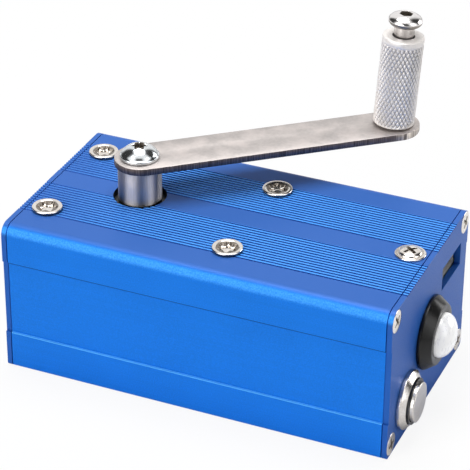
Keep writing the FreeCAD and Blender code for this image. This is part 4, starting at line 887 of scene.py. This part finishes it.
def make_crank_screw():
    """The pan head on the arm: a thin rim, a dome and a deep star recess."""

    def dome(reach):
        return 1.0 + 2.4 * (1 - (reach / CRANK_DOME) ** 2.6)

    head = rounded([
        (M5, 0.0), (4.55, 0.0), (4.62, 0.12), (4.85, 0.3), (4.85, 0.85), (4.72, 1.02),
        (4.55, 1.1),
    ], 0.1, 3)
    rings = lathe_rings(shank(M5, CRANK_SHANK) + head)
    rings += [ring(radius, dome) for radius in (4.3, 4.0, 3.6, 3.2, 2.8, 2.4, 2.15)]
    walls = len(rings) + 1
    rings += recess_rings(star(CRANK_STAR), dome, 1.5, 0.86)
    place = upright(CRANK_X, 0, ARM_TOP) @ Matrix.Rotation(CRANK_SCREW_TURN, 4, "Z")
    piece_from_rings("crank_screw_head", rings, [place], "crank", "zinc_screw",
                     ["crank_screw"], material=BRIGHT_ZINC,
                     shaded=((walls, len(rings)),))


HUB_RADIUS = 5.4
# up to this height the hub's foot takes painted shade
HUB_SHADE = 1.3
HUB_SCREW_HOLE = 6.0
SHAFT_RADIUS = 3.0


def make_hub():
    """Turned steel hub with small chamfers, bored for the shaft and the screw."""
    low, high = (corner.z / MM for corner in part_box("crank_hub"))
    height = high - low
    outline = [
        (SHAFT_RADIUS, 0.0), (HUB_RADIUS - 0.35, 0.0), (HUB_RADIUS, 0.35),
        (HUB_RADIUS, HUB_SHADE), (HUB_RADIUS, height - 0.15), (HUB_RADIUS - 0.15, height),
        (M5, height), (M5, HUB_SCREW_HOLE), (SHAFT_RADIUS, HUB_SCREW_HOLE),
    ]
    piece_from_rings("turned_hub", lathe_rings(outline, FINE_COUNT), [upright(CRANK_X, 0, low)],
                     "crank", "steel_hub", ["crank_hub"], closed=True, shaded=((0, 3),))


ARM_WIDTH = 13.2
ARM_START = 0.4
ARM_BREAK = 0.16
ARM_HOLES = ((0, 2.52), (ARM_REACH - 0.05, 2.6))
ARM_STEPS = 40
FACING_SHARE = 0.5


def circle(x, radius):
    """A hole's outline in the arm's plane."""
    return [(x + along, across, level) for along, across, level in ring(radius, 0, ARM_STEPS)]


def make_arm():
    """The flat bar with round ends, holes for screw and bolt, and broken edges."""
    radius = ARM_WIDTH / 2
    outline = []
    for centre, start in ((ARM_REACH, -90), (ARM_START, 90)):
        for step in range(ARM_STEPS + 1):
            angle = math.radians(start + 180 * step / ARM_STEPS)
            outline.append((centre + radius * math.cos(angle), radius * math.sin(angle), 0))
    bm = bmesh.new()
    edges = []
    for loop in (outline, *(circle(*hole) for hole in ARM_HOLES)):
        verts = [bm.verts.new(point) for point in loop]
        for first, second in zip(verts, verts[1:] + verts[:1]):
            edges.append(bm.edges.new((first, second)))
    bmesh.ops.triangle_fill(bm, edges=edges, use_beauty=True)
    thickness = ARM_TOP - ARM_LOW
    raised = bmesh.ops.extrude_face_region(bm, geom=bm.faces[:])["geom"]
    for vert in raised:
        if isinstance(vert, bmesh.types.BMVert):
            vert.co.z += thickness
    bmesh.ops.recalc_face_normals(bm, faces=bm.faces)
    sharp = [
        edge for edge in bm.edges
        if len(edge.link_faces) == 2 and edge.calc_face_angle(0) > math.radians(60)
    ]
    bmesh.ops.bevel(bm, geom=sharp, offset=ARM_BREAK, segments=2, affect="EDGES", profile=0.5)
    bm.normal_update()
    # upright faces take the cut edge; faces looking down take painted shade
    for face in bm.faces:
        if face.normal.z < -FACING_SHARE:
            face.material_index = 2
        elif face.normal.z <= FACING_SHARE:
            face.material_index = 1
    place = upright(CRANK_X, 0, ARM_LOW) @ Matrix.Rotation(ARM_ANGLE, 4, "Z")
    bmesh.ops.transform(bm, matrix=place @ Matrix.Scale(MM, 4), verts=bm.verts)
    arm = finish_piece("flat_arm", bm, "crank", "steel_arm", ["crank_arm"], second=CUT_EDGE)
    arm.data.materials.append(UNDERSIDE_SHADE)


# handle

KNURL_STARTS = 30
KNURL_PITCH = 1.97
KNURL_DEPTH = 0.34
KNURL_SAMPLES = 8
SLEEVE_RADIUS = 5.25
SLEEVE_BORE = 2.8
SLEEVE_SEAT = 0.426
SLEEVE_LENGTH = 23.6
SMOOTH_BAND = 1.5
BOTTOM_BAND = 0.3
KNURL_RUN_IN, KNURL_RUN_OUT = 0.25, 0.35
KNURL_SKIN = 0.03
KNURL_HALF_WIDTH = 0.26
KNURL_DARK_SHARE = 0.7


def groove(turn):
    """Depth share of a V groove once every turn."""
    away = abs((turn % 1.0) - 0.5)
    return max(0.0, 1 - away / KNURL_HALF_WIDTH)


def make_sleeve():
    """The diamond-knurled sleeve with a smooth band at its top."""
    low = SLEEVE_SEAT
    high = low + SLEEVE_LENGTH
    knurl_low = low + BOTTOM_BAND
    knurl_high = high - SMOOTH_BAND
    count = KNURL_STARTS * KNURL_SAMPLES

    def knurled(level):
        fade = min(1.0, (level - knurl_low) / KNURL_RUN_IN,
                   (knurl_high - level) / KNURL_RUN_OUT)

        def radius(angle):
            around = KNURL_STARTS * angle / (2 * math.pi)
            along = level / KNURL_PITCH
            cut = max(groove(around + along), groove(around - along))
            return SLEEVE_RADIUS - KNURL_SKIN - KNURL_DEPTH * max(0.0, fade) * cut

        return radius

    rings = lathe_rings([
        (SLEEVE_BORE, low), (SLEEVE_RADIUS - 0.35, low), (SLEEVE_RADIUS - 0.12, low + 0.12),
        (SLEEVE_RADIUS - 0.04, low + 0.25),
    ], count)
    levels = round((knurl_high - knurl_low) / KNURL_PITCH * KNURL_SAMPLES)
    for step in range(levels + 1):
        level = knurl_low + (knurl_high - knurl_low) * step / levels
        rings.append(ring(knurled(level), level, count))
    rings += lathe_rings([
        (SLEEVE_RADIUS, knurl_high + 0.1), (SLEEVE_RADIUS, high - 0.5),
        (SLEEVE_RADIUS - 0.1, high - 0.2), (SLEEVE_RADIUS - 0.35, high - 0.05),
        (SLEEVE_RADIUS - 0.6, high), (SLEEVE_BORE + 0.1, high), (SLEEVE_BORE, high - 0.1),
    ], count)
    bm = bmesh.new()
    add_rings(bm, rings, Matrix.Identity(4), closed=True)
    # the deepest faces of the knurl take painted shade
    for face in bm.faces:
        middle = face.calc_center_median() / MM
        depth = SLEEVE_RADIUS - math.hypot(middle.x, middle.y)
        if knurl_low < middle.z < knurl_high and depth > KNURL_DEPTH * KNURL_DARK_SHARE:
            face.material_index = 1
    bmesh.ops.transform(bm, matrix=handle_place(), verts=bm.verts)
    finish_piece("knurled_sleeve", bm, "handle", "knurled_aluminium", ["handle_sleeve"],
                 second=KNURL_FLOOR_SHADE)


BOLT_RADIUS = 2.55
BOLT_SHOULDER = 26.83
BOLT_SOCKET = 1.5
# rings of the bolt's neck and the underside of its head, which face the sleeve and take painted shade
BOLT_SHADED = (3, 14)


def make_handle_bolt():
    """The polished shoulder bolt with a lens-shaped head and a hexagon socket."""
    head = smooth_curve([
        (3.2, 0.0), (3.85, 0.35), (4.2, 0.95), (4.2, 1.5), (3.85, 2.05), (3.2, 2.5),
        (2.4, 2.85), (2.0, 2.95),
    ], 4)
    profile = [(2.2, -1.62), (BOLT_RADIUS, -1.3), (BOLT_RADIUS, BOLT_SHOULDER - 0.2),
               (2.7, BOLT_SHOULDER)]
    profile += [(radius, BOLT_SHOULDER + level) for radius, level in head]
    rings = lathe_rings(profile, HEXAGON_COUNT)
    walls = len(rings) + 1
    rings += recess_rings(hexagon(BOLT_SOCKET), BOLT_SHOULDER + 2.98, 1.5, 0.97,
                          HEXAGON_COUNT)
    piece_from_rings("shoulder_bolt", rings, [handle_place()], "crank", "polished_steel",
                     ["handle_bolt"], shaded=(BOLT_SHADED, (walls, len(rings))))


# lamp and switch, in millimetres out from the end plate's face

LAMP_THREAD, LAMP_BORE = 7.0, 6.3
LENS_RADIUS, LENS_RIM, LENS_RISE = 5.6, 3.3, 3.6
LENS_STEPS = 22
CAP_RADIUS, CAP_FACE = 4.95, 3.6


def make_lamp():
    """The conical bezel with its threaded tube, and the domed lens."""
    bezel = rounded([
        (LAMP_THREAD, -9.5), (LAMP_THREAD, 0.02), (9.2, 0.02), (9.25, 0.1), (9.25, 0.8),
        (7.5, 3.3), (5.75, 3.3), (5.7, 2.3), (LAMP_BORE, 2.3), (LAMP_BORE, -9.5),
    ], 0.22, 4)
    place = facing(1, PLATE_FACE, 0, LAMP_Z)
    piece_from_rings("bezel_ring", lathe_rings(bezel, FINE_COUNT), [place], "case", "black_plastic",
                     ["lamp_bezel"], closed=True)
    dome = [(LAMP_BORE, 1.3), (LAMP_BORE, 2.28), (5.62, 2.3), (LENS_RADIUS, LENS_RIM)]
    for step in range(1, LENS_STEPS):
        angle = math.pi / 2 * step / LENS_STEPS
        dome.append((LENS_RADIUS * math.cos(angle), LENS_RIM + LENS_RISE * math.sin(angle)))
    dome.append((0.05, LENS_RIM + LENS_RISE))
    piece_from_rings("domed_lens", lathe_rings(dome, FINE_COUNT), [place], "case", "clear_lens",
                     ["lamp_lens"])


def make_switch():
    """The bevelled flange with its threaded body, and the satin cap."""
    place = facing(1, PLATE_FACE, SWITCH_Y, SWITCH_Z)
    body = rounded([
        (5.6, -13.0), (6.0, -12.6), (6.0, 0.02), (7.3, 0.02), (7.35, 0.1), (7.35, 1.0),
        (5.95, 2.1), (5.7, 2.1), (5.7, 0.5), (5.05, 0.5), (5.05, -10.5), (4.9, -10.5),
    ], 0.1, 3)
    piece_from_rings("switch_flange", lathe_rings(body, FINE_COUNT), [place], "case",
                     "switch_metal", ["switch_body"])
    cap = rounded([
        (4.85, -5.4), (CAP_RADIUS, -5.3), (CAP_RADIUS, CAP_FACE), (4.2, CAP_FACE),
        (0.05, CAP_FACE),
    ], 0.3, 5)
    piece_from_rings("switch_button", lathe_rings(cap, FINE_COUNT), [place], "button",
                     "switch_metal", ["switch_cap"])


make_camera()
make_world()
make_floor()
for softbox in SOFTBOXES:
    soft_light(*softbox)
dress_cad_nodes()
make_gearbox_screws()
make_bracket_screw()
make_plate_screws()
make_crank_screw()
make_hub()
make_arm()
make_sleeve()
make_handle_bolt()
make_lamp()
make_switch()

bpy.context.scene.view_settings.view_transform = "Standard"
